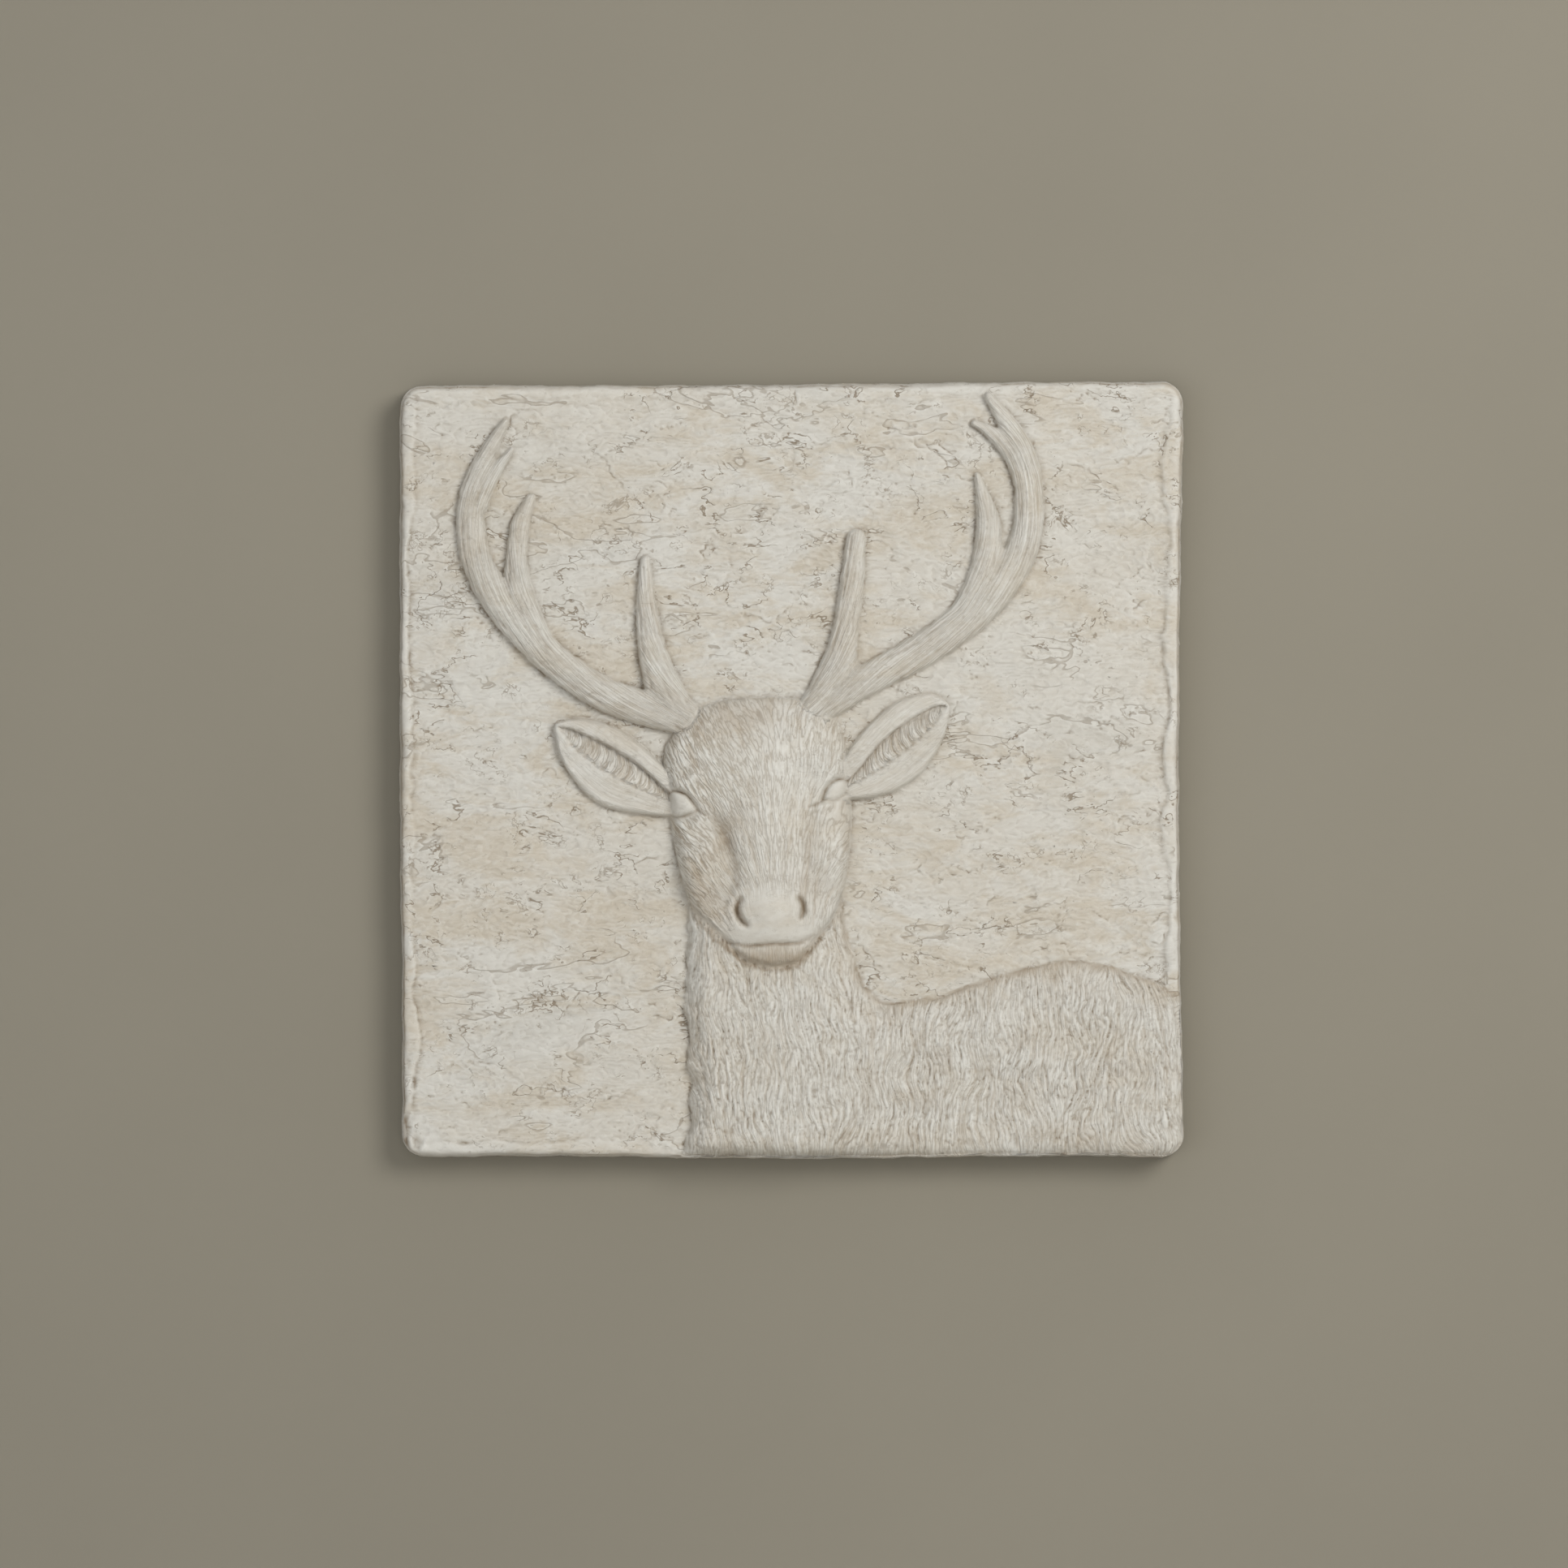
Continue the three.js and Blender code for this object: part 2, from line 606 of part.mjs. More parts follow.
// Arched section whose foot is sunk into the tile.
function archSection(station) {
  const arch = Array.from({ length: SECTION_STEPS + 1 }, (_, i) => {
    const angle = (Math.PI * i) / SECTION_STEPS;
    const side = Math.sign(Math.cos(angle)) * Math.abs(Math.cos(angle)) ** ANTLER_ROUNDNESS;
    return [side, Math.abs(Math.sin(angle)) ** ANTLER_ROUNDNESS * station.rise];
  });
  return [...arch, [-1, EDGE_SINK - SINK], [1, EDGE_SINK - SINK]];
}

// Slender rod that follows the face: a lid where it is added, and a nostril or the mouth where it is cut.
function faceRod(points, halfWidth, reach) {
  const stations = stationsAlong(points, MARK_STEPS, (t, across, up) => {
    const swell = Math.sin(Math.PI * (MARK_FADE + (1 - 2 * MARK_FADE) * t));
    const taper = MARK_END + (1 - MARK_END) * swell;
    return { halfWidth: halfWidth * taper, rise: reach * taper, base: faceRise(across, up) };
  });
  return sweep(stations, roundSection);
}

// Antler: half-round over the ground, closed by a rounded tip.
function antler(points) {
  const reach = points.slice(1).reduce((sum, [across, up], i) => {
    return sum + Math.hypot(across - points[i][0], up - points[i][1]);
  }, 0);
  const widths = new THREE.SplineCurve(points.map(([, , halfWidth], i) => new THREE.Vector2(i, halfWidth)));
  const stations = stationsAlong(points, Math.ceil(reach / ANTLER_STEP) + 2, (t) => {
    const halfWidth = widths.getPoint(t).y;
    const fullness = clamp01(halfWidth / ANTLER_FULL_HALF_WIDTH);
    const rise = ANTLER_RISE * (THIN_ANTLER_SHARE + (1 - THIN_ANTLER_SHARE) * fullness);
    return { halfWidth, rise, base: -EDGE_SINK };
  });
  const tip = stations[stations.length - 1];
  for (const angle of TIP_ANGLES) {
    stations.push({
      ...tip,
      across: tip.across + tip.headingAcross * tip.halfWidth * Math.sin(angle),
      up: tip.up + tip.headingUp * tip.halfWidth * Math.sin(angle),
      halfWidth: tip.halfWidth * Math.cos(angle),
      rise: tip.rise * Math.cos(angle),
    });
  }
  return sweep(stations, archSection);
}

// Ear: a rolled upper rim, a hollow with its crevice, and a smooth lower lobe.
function earRise(spec, along, across) {
  const sides = dome(Math.min(across, 1 - across) / EAR_EDGE);
  const edge = sides * dome(along / EAR_ROOT) * dome((1 - along) / EAR_TIP);
  const body = EAR_RIM_RISE + (EAR_LOBE_RISE - EAR_RIM_RISE) * ramp(across, EAR_BODY_FROM, EAR_BODY_TO);
  const from = spec.hollowFrom + HOLLOW_ROOT_SHIFT * ramp(along, ...HOLLOW_ROOT_PART);
  const to = spec.hollowTo - HOLLOW_TIP_SHIFT * ramp(along, ...HOLLOW_TIP_PART);
  const below = ramp(across, from, from + HOLLOW_UPPER_SLOPE);
  const above = ramp(across, to + HOLLOW_LOWER_SLOPE, to);
  const hollow = below * above * ramp(along, ...HOLLOW_BEGINS) * (1 - ramp(along, ...HOLLOW_ENDS));
  const floor = EAR_HOLLOW_RISE + HOLLOW_FLOOR_SLANT * ramp(across, from, to);
  return edge * (body + (floor - body) * hollow) - EDGE_SINK;
}

function ear(spec) {
  const upper = curveOf(spec.upper);
  const lower = curveOf(spec.lower);
  return reliefPatch(EAR_STEPS_ALONG, EAR_STEPS_ACROSS, (u, v) => {
    const along = spec.tipAtLeft ? 1 - u : u;
    const top = upper.getPoint(along);
    const low = lower.getPoint(along);
    const across = towardsEnds(v);
    const rise = earRise(spec, along, 1 - across);
    return [low.x + across * (top.x - low.x), low.y + across * (top.y - low.y), rise];
  });
}

// Locks of the coat: crests that run down the neck, each row set half a lock beside the next.
function lockRise(across, up) {
  const row = up / LOCK_LENGTH;
  const sway = LOCK_SWAY * Math.sin(SWAY_TURN_UP * up + SWAY_TURN_ACROSS * across);
  const inRow = row - Math.floor(row);
  const crest = (shift) => 0.5 + 0.5 * Math.cos(2 * Math.PI * (across / LOCK_WIDTH + sway + shift));
  const mix = ramp(inRow, LOCK_CROSSING, 1);
  const shift = (Math.floor(row) % 2) / 2;
  return LOCK_RISE * ((1 - mix) * crest(shift) + mix * crest(shift + 0.5));
}

// Height of neck, breast and back over the ground, at a distance in from their visible edge.
function bodyRise(across, up, inFromEdge) {
  const neck = NECK_SHARE * NECK_RISE * ramp(across, NECK_END_ACROSS, NECK_FULL_ACROSS);
  const p = (across - BREAST.across) / BREAST.halfWidth;
  const q = (up - BREAST.up) / BREAST.halfHeight;
  const form = BACK_RISE + neck + BREAST_RISE * Math.exp(-p * p - q * q) + lockRise(across, up);
  const roundPart = STEEP_EDGE_ROUND * dome(inFromEdge / STEEP_EDGE_WIDTH);
  const steep = roundPart + (1 - STEEP_EDGE_ROUND) * ramp(inFromEdge, 0, STEEP_EDGE_WIDTH);
  const step = GENTLE_EDGE_STEP * dome(inFromEdge / GENTLE_EDGE_STEP_WIDTH);
  const gentle = step + (1 - GENTLE_EDGE_STEP) * ramp(inFromEdge, 0, GENTLE_EDGE_WIDTH);
  const towardsBack = ramp(across, STEEP_EDGE_ACROSS, GENTLE_EDGE_ACROSS);
  const edge = (1 - towardsBack) * steep + towardsBack * gentle;
  return form * edge * dome((inFromTile(across, up) - RELIEF_INSET) / RELIEF_EDGE_WIDTH) - EDGE_SINK;
}

// Places along a line so that its columns keep an even width where it drops steeply.
function evenColumns(curve, columns) {
  const fine = curve.getPoints(COLUMN_SAMPLES);
  const reach = [0];
  for (let i = 1; i < fine.length; i += 1) {
    const step = Math.abs(fine[i].x - fine[i - 1].x) + STEEP_STRETCH * Math.abs(fine[i].y - fine[i - 1].y);
    reach.push(reach[i - 1] + step);
  }
  return Array.from({ length: columns + 1 }, (_, column) => {
    const goal = (reach[reach.length - 1] * column) / columns;
    const index = reach.findIndex((value) => value >= goal - MERGE_DISTANCE);
    return fine[index];
  });
}

function body() {
  const top = curveOf(BACK_TOP);
  const left = curveOf(NECK_LEFT);
  const edge = [...left.getPoints(OUTLINE_STEPS), ...top.getPoints(BACK_OUTLINE_STEPS)];
  const columns = evenColumns(top, BODY_COLUMNS);
  return reliefPatch(BODY_COLUMNS, BODY_ROWS, (u, v) => {
    const above = columns[Math.round(u * BODY_COLUMNS)];
    const up = BODY_BOTTOM + v * (above.y - BODY_BOTTOM);
    const leftEdge = left.getPoint(clamp01((up - BODY_BOTTOM) / (columns[0].y - BODY_BOTTOM)));
    const across = above.x + (1 - u) ** NECK_BOW_FADE * (leftEdge.x - columns[0].x);
    return [across, up, bodyRise(across, up, nearestOn(edge, across, up).distance)];
  }).intersect(reliefSpace());
}

// Hook socket: a square pocket, open at the back.
function socket() {
  const cut = new THREE.BoxGeometry(SOCKET_WIDTH, 2 * SOCKET_DEPTH, SOCKET_HEIGHT);
  cut.translate(0, 0, HEIGHT / 2 - SOCKET_BELOW_TOP - SOCKET_HEIGHT / 2);
  cut.deleteAttribute("normal");
  cut.deleteAttribute("uv");
  const merged = mergeVertices(cut, MERGE_DISTANCE);
  return solidOf(merged.getAttribute("position").array, merged.index.array);
}

function plaque() {
  const reliefs = [body(), face(), ...EARS.map(ear), ...ANTLERS.map(antler), ...EYES.map(eye)];
  const lids = LIDS.map((lid) => faceRod(lid, LID_HALF_WIDTH, LID_RISE));
  const cuts = [...NOSTRILS.map((nostril) => faceRod(nostril, NOSTRIL_HALF_WIDTH, NOSTRIL_DEPTH))];
  cuts.push(faceRod(MOUTH, MOUTH_HALF_WIDTH, MOUTH_DEPTH), socket());
  const cast = [...reliefs, ...lids].reduce((whole, form) => whole.add(form), tile());
  return cuts.reduce((whole, cut) => whole.subtract(cut), cast);
}

function geometryOf(solid) {
  const { vertProperties, triVerts, numProp } = solid.getMesh();
  const geometry = new THREE.BufferGeometry();
  geometry.setAttribute("position", new THREE.BufferAttribute(new Float32Array(vertProperties), numProp));
  geometry.setIndex(new THREE.BufferAttribute(new Uint32Array(triVerts), 1));
  geometry.computeVertexNormals();
  return geometry;
}

const model = new THREE.Group();
const mesh = new THREE.Mesh(geometryOf(plaque()), new THREE.MeshStandardMaterial(PLASTER));
mesh.name = "plaque";
model.add(mesh);

export default model;
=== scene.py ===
import math

import bpy
import numpy as np
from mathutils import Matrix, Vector
from mathutils.geometry import delaunay_2d_cdt


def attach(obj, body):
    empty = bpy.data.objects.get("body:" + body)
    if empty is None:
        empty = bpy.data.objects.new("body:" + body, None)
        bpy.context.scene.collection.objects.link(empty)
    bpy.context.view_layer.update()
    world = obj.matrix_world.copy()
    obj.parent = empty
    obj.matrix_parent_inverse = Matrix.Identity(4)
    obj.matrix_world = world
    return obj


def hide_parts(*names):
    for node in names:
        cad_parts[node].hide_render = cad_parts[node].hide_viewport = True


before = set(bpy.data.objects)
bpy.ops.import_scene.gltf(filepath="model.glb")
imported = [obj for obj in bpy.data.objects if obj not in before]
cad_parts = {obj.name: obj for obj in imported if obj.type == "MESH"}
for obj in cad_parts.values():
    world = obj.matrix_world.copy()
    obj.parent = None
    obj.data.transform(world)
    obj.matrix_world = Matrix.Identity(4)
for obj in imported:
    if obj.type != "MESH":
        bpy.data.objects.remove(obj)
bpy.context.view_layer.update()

MM = 0.001
TRIANGLE_LIMIT = 196000
GRID_STEP = 0.4
SEED = 41

# Tile, as in the part's source
WIDTH = 300
HEIGHT = 297
GROUND_THICKNESS = 15
CORNER_RADIUS = 9
SIDE_DRAFT = 1.2
BACK_EDGE_ROUNDING = 1.2
FRONT_EDGE_ROUNDING = 3
RIM_RISE = 1.1
RIM_WIDTH = 5
RIM_SLOPE = 2.6
RIGHT_WAIST = 1.7
LEFT_FOOT_INSET = 0.9
TOP_LEFT_DROP = 1.4
BOTTOM_WAVE = 0.5
BOTTOM_WAVES = 1.5
WOBBLE = 0.3
WAIST_FROM = 0.05
WAIST_TO = 0.95
FOOT_FROM = 0.45
FOOT_FULL = 0.2
DROP_FROM = 0.9
DROP_FULL = 0.3
SOCKET_WIDTH = 20
SOCKET_HEIGHT = 14
SOCKET_DEPTH = 9
SOCKET_BELOW_TOP = 34

# Heights of the relief over the ground
FACE_EDGE_RISE = 8.4
CRANIUM_RISE = 10.4
FOREHEAD_RISE = 12.4
BRIDGE_RISE = 13.8
MUZZLE_RISE = 15
NOSE_RISE = 16.6
UPPER_LIP_RISE = 13.8
CHIN_RISE = 12
CHEEK_RISE = 10.4
JAW_RISE = 10.2
NECK_RISE = 7
BREAST_RISE = 2.4
BACK_RISE = 3
LOCK_RISE = 1
ANTLER_RISE = 5.8
ANTLER_FULL_HALF_WIDTH = 2.2
THIN_ANTLER_SHARE = 0.45
ANTLER_ROUNDNESS = 0.85
ANTLER_WEB = 0.9
FLUTES = ((0.62, 0.07, 1.0), (0.28, 0.05, 0.5), (-0.05, 0.06, 0.35), (-0.4, 0.05, 0.5), (-0.7, 0.06, 0.4))
EAR_RIM_RISE = 4.6
EAR_LOBE_RISE = 3.6
EAR_HOLLOW_RISE = 0.8
CHEEK_FOLD_DEPTHS = (1.6, 0.5)
FOLD_FADE = 0.05
RELIEF_INSET = 2.2
RELIEF_EDGE_WIDTH = 6
EDGE_SINK = 0.4

# The stag is drawn in hundredths of the tile, from its lower left corner.
ANTLERS = [
    [
        (36.2, 56.6, 2.2), (27.1, 59.3, 2.2), (19.7, 64.1, 2.1), (13.2, 71, 2.1), (9.9, 77.6, 2),
        (9.4, 84.5, 1.7), (11.3, 90.1, 1.2), (13.8, 94.4, 0.6),
    ],
    [(36.4, 56.4, 2.1), (33.9, 60.4, 2.3), (32.3, 65.5, 1.8), (31.6, 71.3, 1.3), (31.5, 76.6, 0.8)],
    [(18.4, 65.5, 1.7), (15.7, 72.1, 1.9), (15.2, 76.9, 1.4), (15.7, 81.3, 1.3), (17, 84.7, 0.7)],
    [(10.3, 84.2, 1.5), (12.1, 87.6, 1), (14.6, 90.9, 0.4)],
    [
        (52.9, 57.5, 2.1), (60.4, 61.9, 2.1), (67.4, 65.8, 2.3), (74, 71, 2.4), (78.7, 77.1, 2.1),
        (80.1, 83.4, 1.9), (79, 91, 1.7), (74.9, 97.8, 0.6),
    ],
    [(52.9, 57.5, 2.1), (55.6, 62.3, 2.4), (56.8, 67.6, 1.7), (57.5, 72.9, 1.6), (58.2, 79.5, 1.3)],
    [(72.5, 70.2, 2.1), (74.5, 76, 1.9), (74.9, 81.5, 1.6), (73.5, 87.7, 0.4)],
    [(79.8, 87.6, 1.6), (77.7, 90.8, 1.3), (74.9, 93.3, 0.8), (73.1, 94.3, 0.5)],
]
BRANCHES = 4
FACE_LEFT = [(44.2, 24.9), (38.3, 30.3), (35.9, 36.5), (34.3, 44.9), (33.9, 52.8), (37.6, 57.9)]
FACE_RIGHT = [(51, 24.7), (55.3, 30.7), (57.2, 37.6), (57.6, 47), (56.9, 53.4), (55.2, 58.2)]
FACE_TOP = [(37.6, 57.9), (42.7, 59.1), (49.7, 59.3), (55.2, 58.2)]
FACE_BOTTOM = [(44.2, 24.9), (47.6, 24.2), (51, 24.7)]

# Masses of the face: across, up, half width, half height, lean in degrees, rise, power
FACE_MASSES = [
    (45.4, 49.8, 12.6, 11, 0, CRANIUM_RISE, 0.5),
    (45.8, 48.2, 10.5, 11, 2, FOREHEAD_RISE, 0.8),
    (46.9, 41, 9.2, 16, 3, BRIDGE_RISE, 0.9),
    (47.5, 33, 9, 9.5, 4, MUZZLE_RISE, 0.75),
    (47.6, 32.2, 7.2, 6.4, 0, NOSE_RISE, 0.9),
    (47.1, 29.7, 9.2, 3.6, 0, UPPER_LIP_RISE, 0.6),
    (47.2, 26.6, 9, 3.7, 0, CHIN_RISE, 0.4),
    (39.2, 38.4, 5.4, 9.2, 8, CHEEK_RISE, 0.7),
    (54.2, 39.4, 4.6, 9.6, -4, CHEEK_RISE, 0.6),
    (41, 32.2, 4.6, 5.2, 30, JAW_RISE, 0.7),
    (53.8, 31.6, 3.4, 4.8, -25, JAW_RISE, 0.7),
]
MASS_BLEND = 0.9
FACE_EDGE_WIDTH = 4.2
FACE_ROOT_WIDTH = 1.6
CROWN_EDGE_WIDTH = 9
CROWN_FROM = 48
CROWN_FULL = 58
CHEEK_FOLDS = [
    [(38.6, 45.4), (41.1, 42.6), (42.2, 39.8), (42.8, 36.8), (42.4, 33.6)],
    [(53.1, 45.3), (51.7, 40.7), (52, 35.5)],
]
EYE_OUTLINES = [
    [
        (34.3, 46), (34.3, 46.8), (35.1, 47.2), (36.5, 46.8), (37.3, 46), (38, 44.9), (37.2, 44.4),
        (35.9, 44), (34.9, 44.2),
    ],
    [
        (53.9, 46.2), (54.4, 47.4), (55.1, 48.3), (56.1, 48.7), (57, 48.6), (57.2, 47.8), (56.6, 46.8),
        (55.3, 46.1),
    ],
]
LIDS = [
    [(34.1, 46.5), (35.1, 47.2), (36.5, 46.8), (37.3, 46), (38, 44.9), (39.1, 44.2)],
    [(52.2, 45.3), (53, 45.5), (54, 46.2), (54.3, 47.4), (55.1, 48.3), (56.4, 48.7), (57.5, 48.2)],
]
NOSTRILS = [
    [(43.5, 33.5), (43.1, 32.6), (43.2, 31.6), (43.7, 30.7), (44.3, 30.2)],
    [(51, 33.7), (51.4, 32.9), (51.5, 32), (51.2, 31.2)],
]
# A line along the underside of the jaw, where painted shade goes in brown.
JAW_SHADE_LINE = [(39.9, 29.6), (41.8, 27.3), (43.9, 26), (47.4, 25.6), (50.8, 25.8), (52.8, 27.2), (53.7, 28.8)]
MOUTH = [
    (41.3, 28.1), (42.7, 27.8), (44, 27.55), (45.3, 27.55), (47.3, 27.75), (49.6, 27.8), (51, 27.95),
    (52, 28.4), (52.7, 28.9),
]
NOSTRIL_WINGS = ((42.4, 32), (52.3, 32.2))

# Soft swellings of the face, and hollows where the amount is below zero: amount in millimetres, across, up,
# half width, half height, and the turn in degrees. After them, in the same way, darker patches under the
# lower lids, patches of painted highlight, and brown patches.
FACE_SWELLS = [
    (0.9, 37.2, 48.7, 3, 1.1, -24), (0.9, 54.4, 50, 2.6, 1.1, 24), (-0.7, 40.2, 43.2, 1.2, 2.6, 38),
    (-0.5, 52.2, 43.6, 1, 2.2, -30), (0.7, 39.6, 38, 2.6, 4.2, 12), (-0.5, 40.4, 33.6, 3, 0.9, 20),
]
LOWER_LID_SWELLS = [(0.6, 54.6, 44.2, 1.7, 0.6, -8), (0.35, 55, 45.5, 1.4, 0.3, -14)]
# Darker patches under the lower lids' swellings.
LOWER_LID_DARKENING = [(0.16, 54.8, 43.2, 1.9, 0.3, -8), (0.14, 54.9, 45, 1.4, 0.16, -14)]
BARE_PADS = [(1, 47.4, 31.6, 3.6, 3), (1, 47.4, 29, 5.6, 1.2)]
FACE_PALE = 0.22
# Patches of painted highlight on the forehead and the bridge.
FACE_HIGHLIGHT_PATCHES = [(0.7, 50.5, 52, 4.5, 5.5), (0.55, 46.6, 43, 2.8, 8, 4)]
FACE_BROWN_PATCHES = [
    (0.9, 47.4, 25.8, 6, 1.6), (0.6, 39.6, 32.6, 3.2, 2.8, 30), (0.6, 43.6, 56.8, 5.2, 2.6, -12),
    (0.4, 34.9, 54, 0.9, 3), (0.5, 41.3, 41.6, 1.1, 4, 28), (0.25, 38, 36.5, 1.8, 4),
    (0.35, 52.5, 34.5, 2.2, 2.6), (0.2, 56.8, 41, 0.8, 6),
]

# Neck and back
NECK_LEFT = [(36.2, -1), (37.4, 10.7), (36.3, 19.5), (37, 33.9)]
BACK_TOP = [
    (37, 33.9), (47, 36), (55.2, 35.6), (56.7, 31), (58.1, 25.2), (61.2, 20.5), (67.2, 20.9), (77.7, 24.1),
    (88.1, 25.4), (101, 20.6),
]
BODY_CORNER = (101, -1)
NECK_FULL_ACROSS = 47
NECK_END_ACROSS = 68
NECK_SHARE = 0.62
BREAST = (47, 14, 16, 14)
STEEP_EDGE_WIDTH = 3.2
GENTLE_EDGE_STEP_WIDTH = 0.9
GENTLE_EDGE_WIDTH = 6
GENTLE_EDGE_STEP = 0.35
STEEP_EDGE_ACROSS = 44
GENTLE_EDGE_ACROSS = 62

# Ears: upper and lower edge from root to tip, and where the hollow lies as shares of the width
EARS = [
    (
        [(36.2, 47.6), (34.1, 50.2), (28.6, 55), (23.4, 56.6), (20, 55.9)],
        [(36.4, 43.8), (31.8, 44.1), (25.5, 45.5), (21.3, 50.2), (19.8, 55.2)],
        0.25,
        0.56,
    ),
    (
        [(55, 48.6), (57.9, 53.7), (62.5, 58.3), (67.2, 59.9), (70, 58.4)],
        [(55, 46), (61.5, 46.6), (66.2, 49.2), (69.1, 53.5), (70.2, 57.7)],
        0.3,
        0.6,
    ),
]
EAR_EDGE = 0.12
EAR_BODY_FROM = 0.3
EAR_BODY_TO = 0.8
EAR_ROOT = 0.05
EAR_TIP = 0.08
EAR_LENGTH = 46
EAR_WIDTH = 22
EAR_SAMPLES = (500, 360)
COMB_SPACING = 2.6

# How the coat runs on the face: across, up, and degrees from straight down, positive towards the right
FACE_FLOW = [
    (42.3, 55.5, 25), (42.7, 54.9, 25), (40.1, 49.2, 35), (48.5, 51.8, 0), (50.3, 47.1, -14),
    (52.6, 55, -10), (53.7, 58.1, -35), (41.2, 44.4, 32), (42.2, 40.2, 30), (43.8, 37, 33),
    (44.8, 35.5, 25), (46.4, 42.3, 5), (47.4, 38.1, -3), (45.9, 33.9, 0), (51.6, 44.4, -20),
    (51.1, 39.1, -17), (52.6, 38.1, -35), (54.2, 38.1, -42), (55.8, 40.2, -45), (56.3, 36.5, -50),
    (54.7, 33.9, -35), (52.6, 32.8, -10), (55.8, 44.4, -80), (38.7, 41.3, 75), (37, 39.8, 65),
    (38.7, 38.8, 50), (40.5, 40.4, 50), (40.5, 37.5, 45), (41.8, 36.2, 50), (41.1, 34.6, 60),
    (39.4, 35.2, 50), (36.7, 37.5, 45), (37.8, 33.9, 65), (38.7, 32.8, 65), (40.2, 32.3, 50),
    (41.5, 31.6, 45), (37.8, 32, 40), (45, 25, 0), (53.8, 32, -20),
]


# Small functions

def ramp(value, start, end):
    t = np.clip((value - start) / (end - start), 0, 1)
    return t * t * (3 - 2 * t)


def dome(value):
    t = np.clip(value, 0, 1)
    return np.sqrt(1 - (1 - t) ** 2)


def bell(value):
    return np.exp(-value * value)


def spline(points, t):
    """Points of a smooth curve through the given ones, at shares t of its length."""
    points = np.array(points, float)
    last = len(points) - 1
    place = np.asarray(t, float) * last
    index = np.minimum(place.astype(int), last - 1)
    w = (place - index)[..., None]
    before, start, end, after = (points[np.clip(index + shift, 0, last)] for shift in (-1, 0, 1, 2))
    v0 = (end - before) / 2
    v1 = (after - start) / 2
    cubic = 2 * start - 2 * end + v0 + v1
    square = -3 * start + 3 * end - 2 * v0 - v1
    return cubic * w ** 3 + square * w ** 2 + v0 * w + start


def curve(points, steps):
    return spline(points, np.linspace(0, 1, steps * (len(points) - 1) + 1))


def nearest(line, gx, gz):
    """Distance to a line of points, the share along it, and on which side of it (above zero is the left)."""
    best = np.full(gx.shape, np.inf)
    share = np.zeros(gx.shape)
    side = np.zeros(gx.shape)
    for i in range(len(line) - 1):
        ax, az = line[i][:2]
        dx, dz = line[i + 1][0] - ax, line[i + 1][1] - az
        t = np.clip(((gx - ax) * dx + (gz - az) * dz) / (dx * dx + dz * dz), 0, 1)
        ox, oz = gx - ax - t * dx, gz - az - t * dz
        gap = ox * ox + oz * oz
        closer = gap < best
        best[closer] = gap[closer]
        share[closer] = (i + t[closer]) / (len(line) - 1)
        side[closer] = np.sign(dx * oz - dz * ox)[closer]
    return np.sqrt(best), share, side


def inside(ring, gx, gz):
    odd = np.zeros(gx.shape, bool)
    for (ax, az), (bx, bz) in zip(ring, np.roll(ring, -1, axis=0)):
        if az == bz:
            continue
        crosses = (az > gz) != (bz > gz)
        odd ^= crosses & (gx < (bx - ax) * (gz - az) / (bz - az) + ax)
    return odd


# Grid over the tile's rounded front, and where each of its points lies

half_width = WIDTH / 2 - SIDE_DRAFT
half_height = HEIGHT / 2 - SIDE_DRAFT
columns = round(2 * half_width / GRID_STEP)
rows = round(2 * half_height / GRID_STEP)
places_x = np.linspace(-half_width, half_width, columns + 1)
places_z = np.linspace(-half_height, half_height, rows + 1)
flat_x, flat_z = np.meshgrid(places_x, places_z)
corner = CORNER_RADIUS - SIDE_DRAFT
past_x = np.clip((np.abs(flat_x) - half_width + corner) / corner, 0, 1)
past_z = np.clip((np.abs(flat_z) - half_height + corner) / corner, 0, 1)
in_corner = (past_x > 0) & (past_z > 0)
round_x = half_width - corner + corner * past_x * np.sqrt(1 - past_z ** 2 / 2)
round_z = half_height - corner + corner * past_z * np.sqrt(1 - past_x ** 2 / 2)
tile_x = np.where(in_corner, np.sign(flat_x) * round_x, flat_x)
tile_z = np.where(in_corner, np.sign(flat_z) * round_z, flat_z)


def unevenly(place, phase):
    """Slow waves of about one, which differ with the phase."""
    slow = np.sin(0.19 * place + 2 * phase + 1.9 * np.sin(0.047 * place + phase))
    return 0.55 * slow + 0.3 * np.sin(0.47 * place + 5 * phase) + 0.15 * np.sin(1.05 * place + phase)


def wandered(x, z):
    """The tile's places with the unevenness of its hand-made outline."""
    across = x / WIDTH + 0.5
    up = z / HEIGHT + 0.5
    right = -RIGHT_WAIST * np.sin(np.pi * np.clip((up - WAIST_FROM) / (WAIST_TO - WAIST_FROM), 0, 1))
    left = LEFT_FOOT_INSET * ramp(up, FOOT_FROM, FOOT_FULL)
    top = -TOP_LEFT_DROP * ramp(across, DROP_FROM, DROP_FULL)
    bottom = BOTTOM_WAVE * np.sin(2 * np.pi * BOTTOM_WAVES * across)
    inward_x = WOBBLE * (1 - unevenly(z, np.sign(x))) * np.abs(2 * across - 1) ** 6
    inward_z = WOBBLE * (1 - unevenly(x, 2 * np.sign(z))) * np.abs(2 * up - 1) ** 6
    new_x = x + across * right + (1 - across) * left - np.sign(x) * inward_x
    return new_x, z + up * top + (1 - up) * bottom - np.sign(z) * inward_z


X, Z = wandered(tile_x, tile_z)
GX = (X / WIDTH + 0.5) * 100
GZ = (Z / HEIGHT + 0.5) * 100
from_side = half_width - np.abs(tile_x)
from_end = half_height - np.abs(tile_z)
deep_x = np.maximum(corner - from_side, 0)
deep_z = np.maximum(corner - from_end, 0)
from_corner = corner - np.hypot(deep_x, deep_z)
from_nearest = np.minimum(from_side, from_end)
in_from_edge = SIDE_DRAFT + np.where((deep_x > 0) & (deep_z > 0), from_corner, from_nearest)


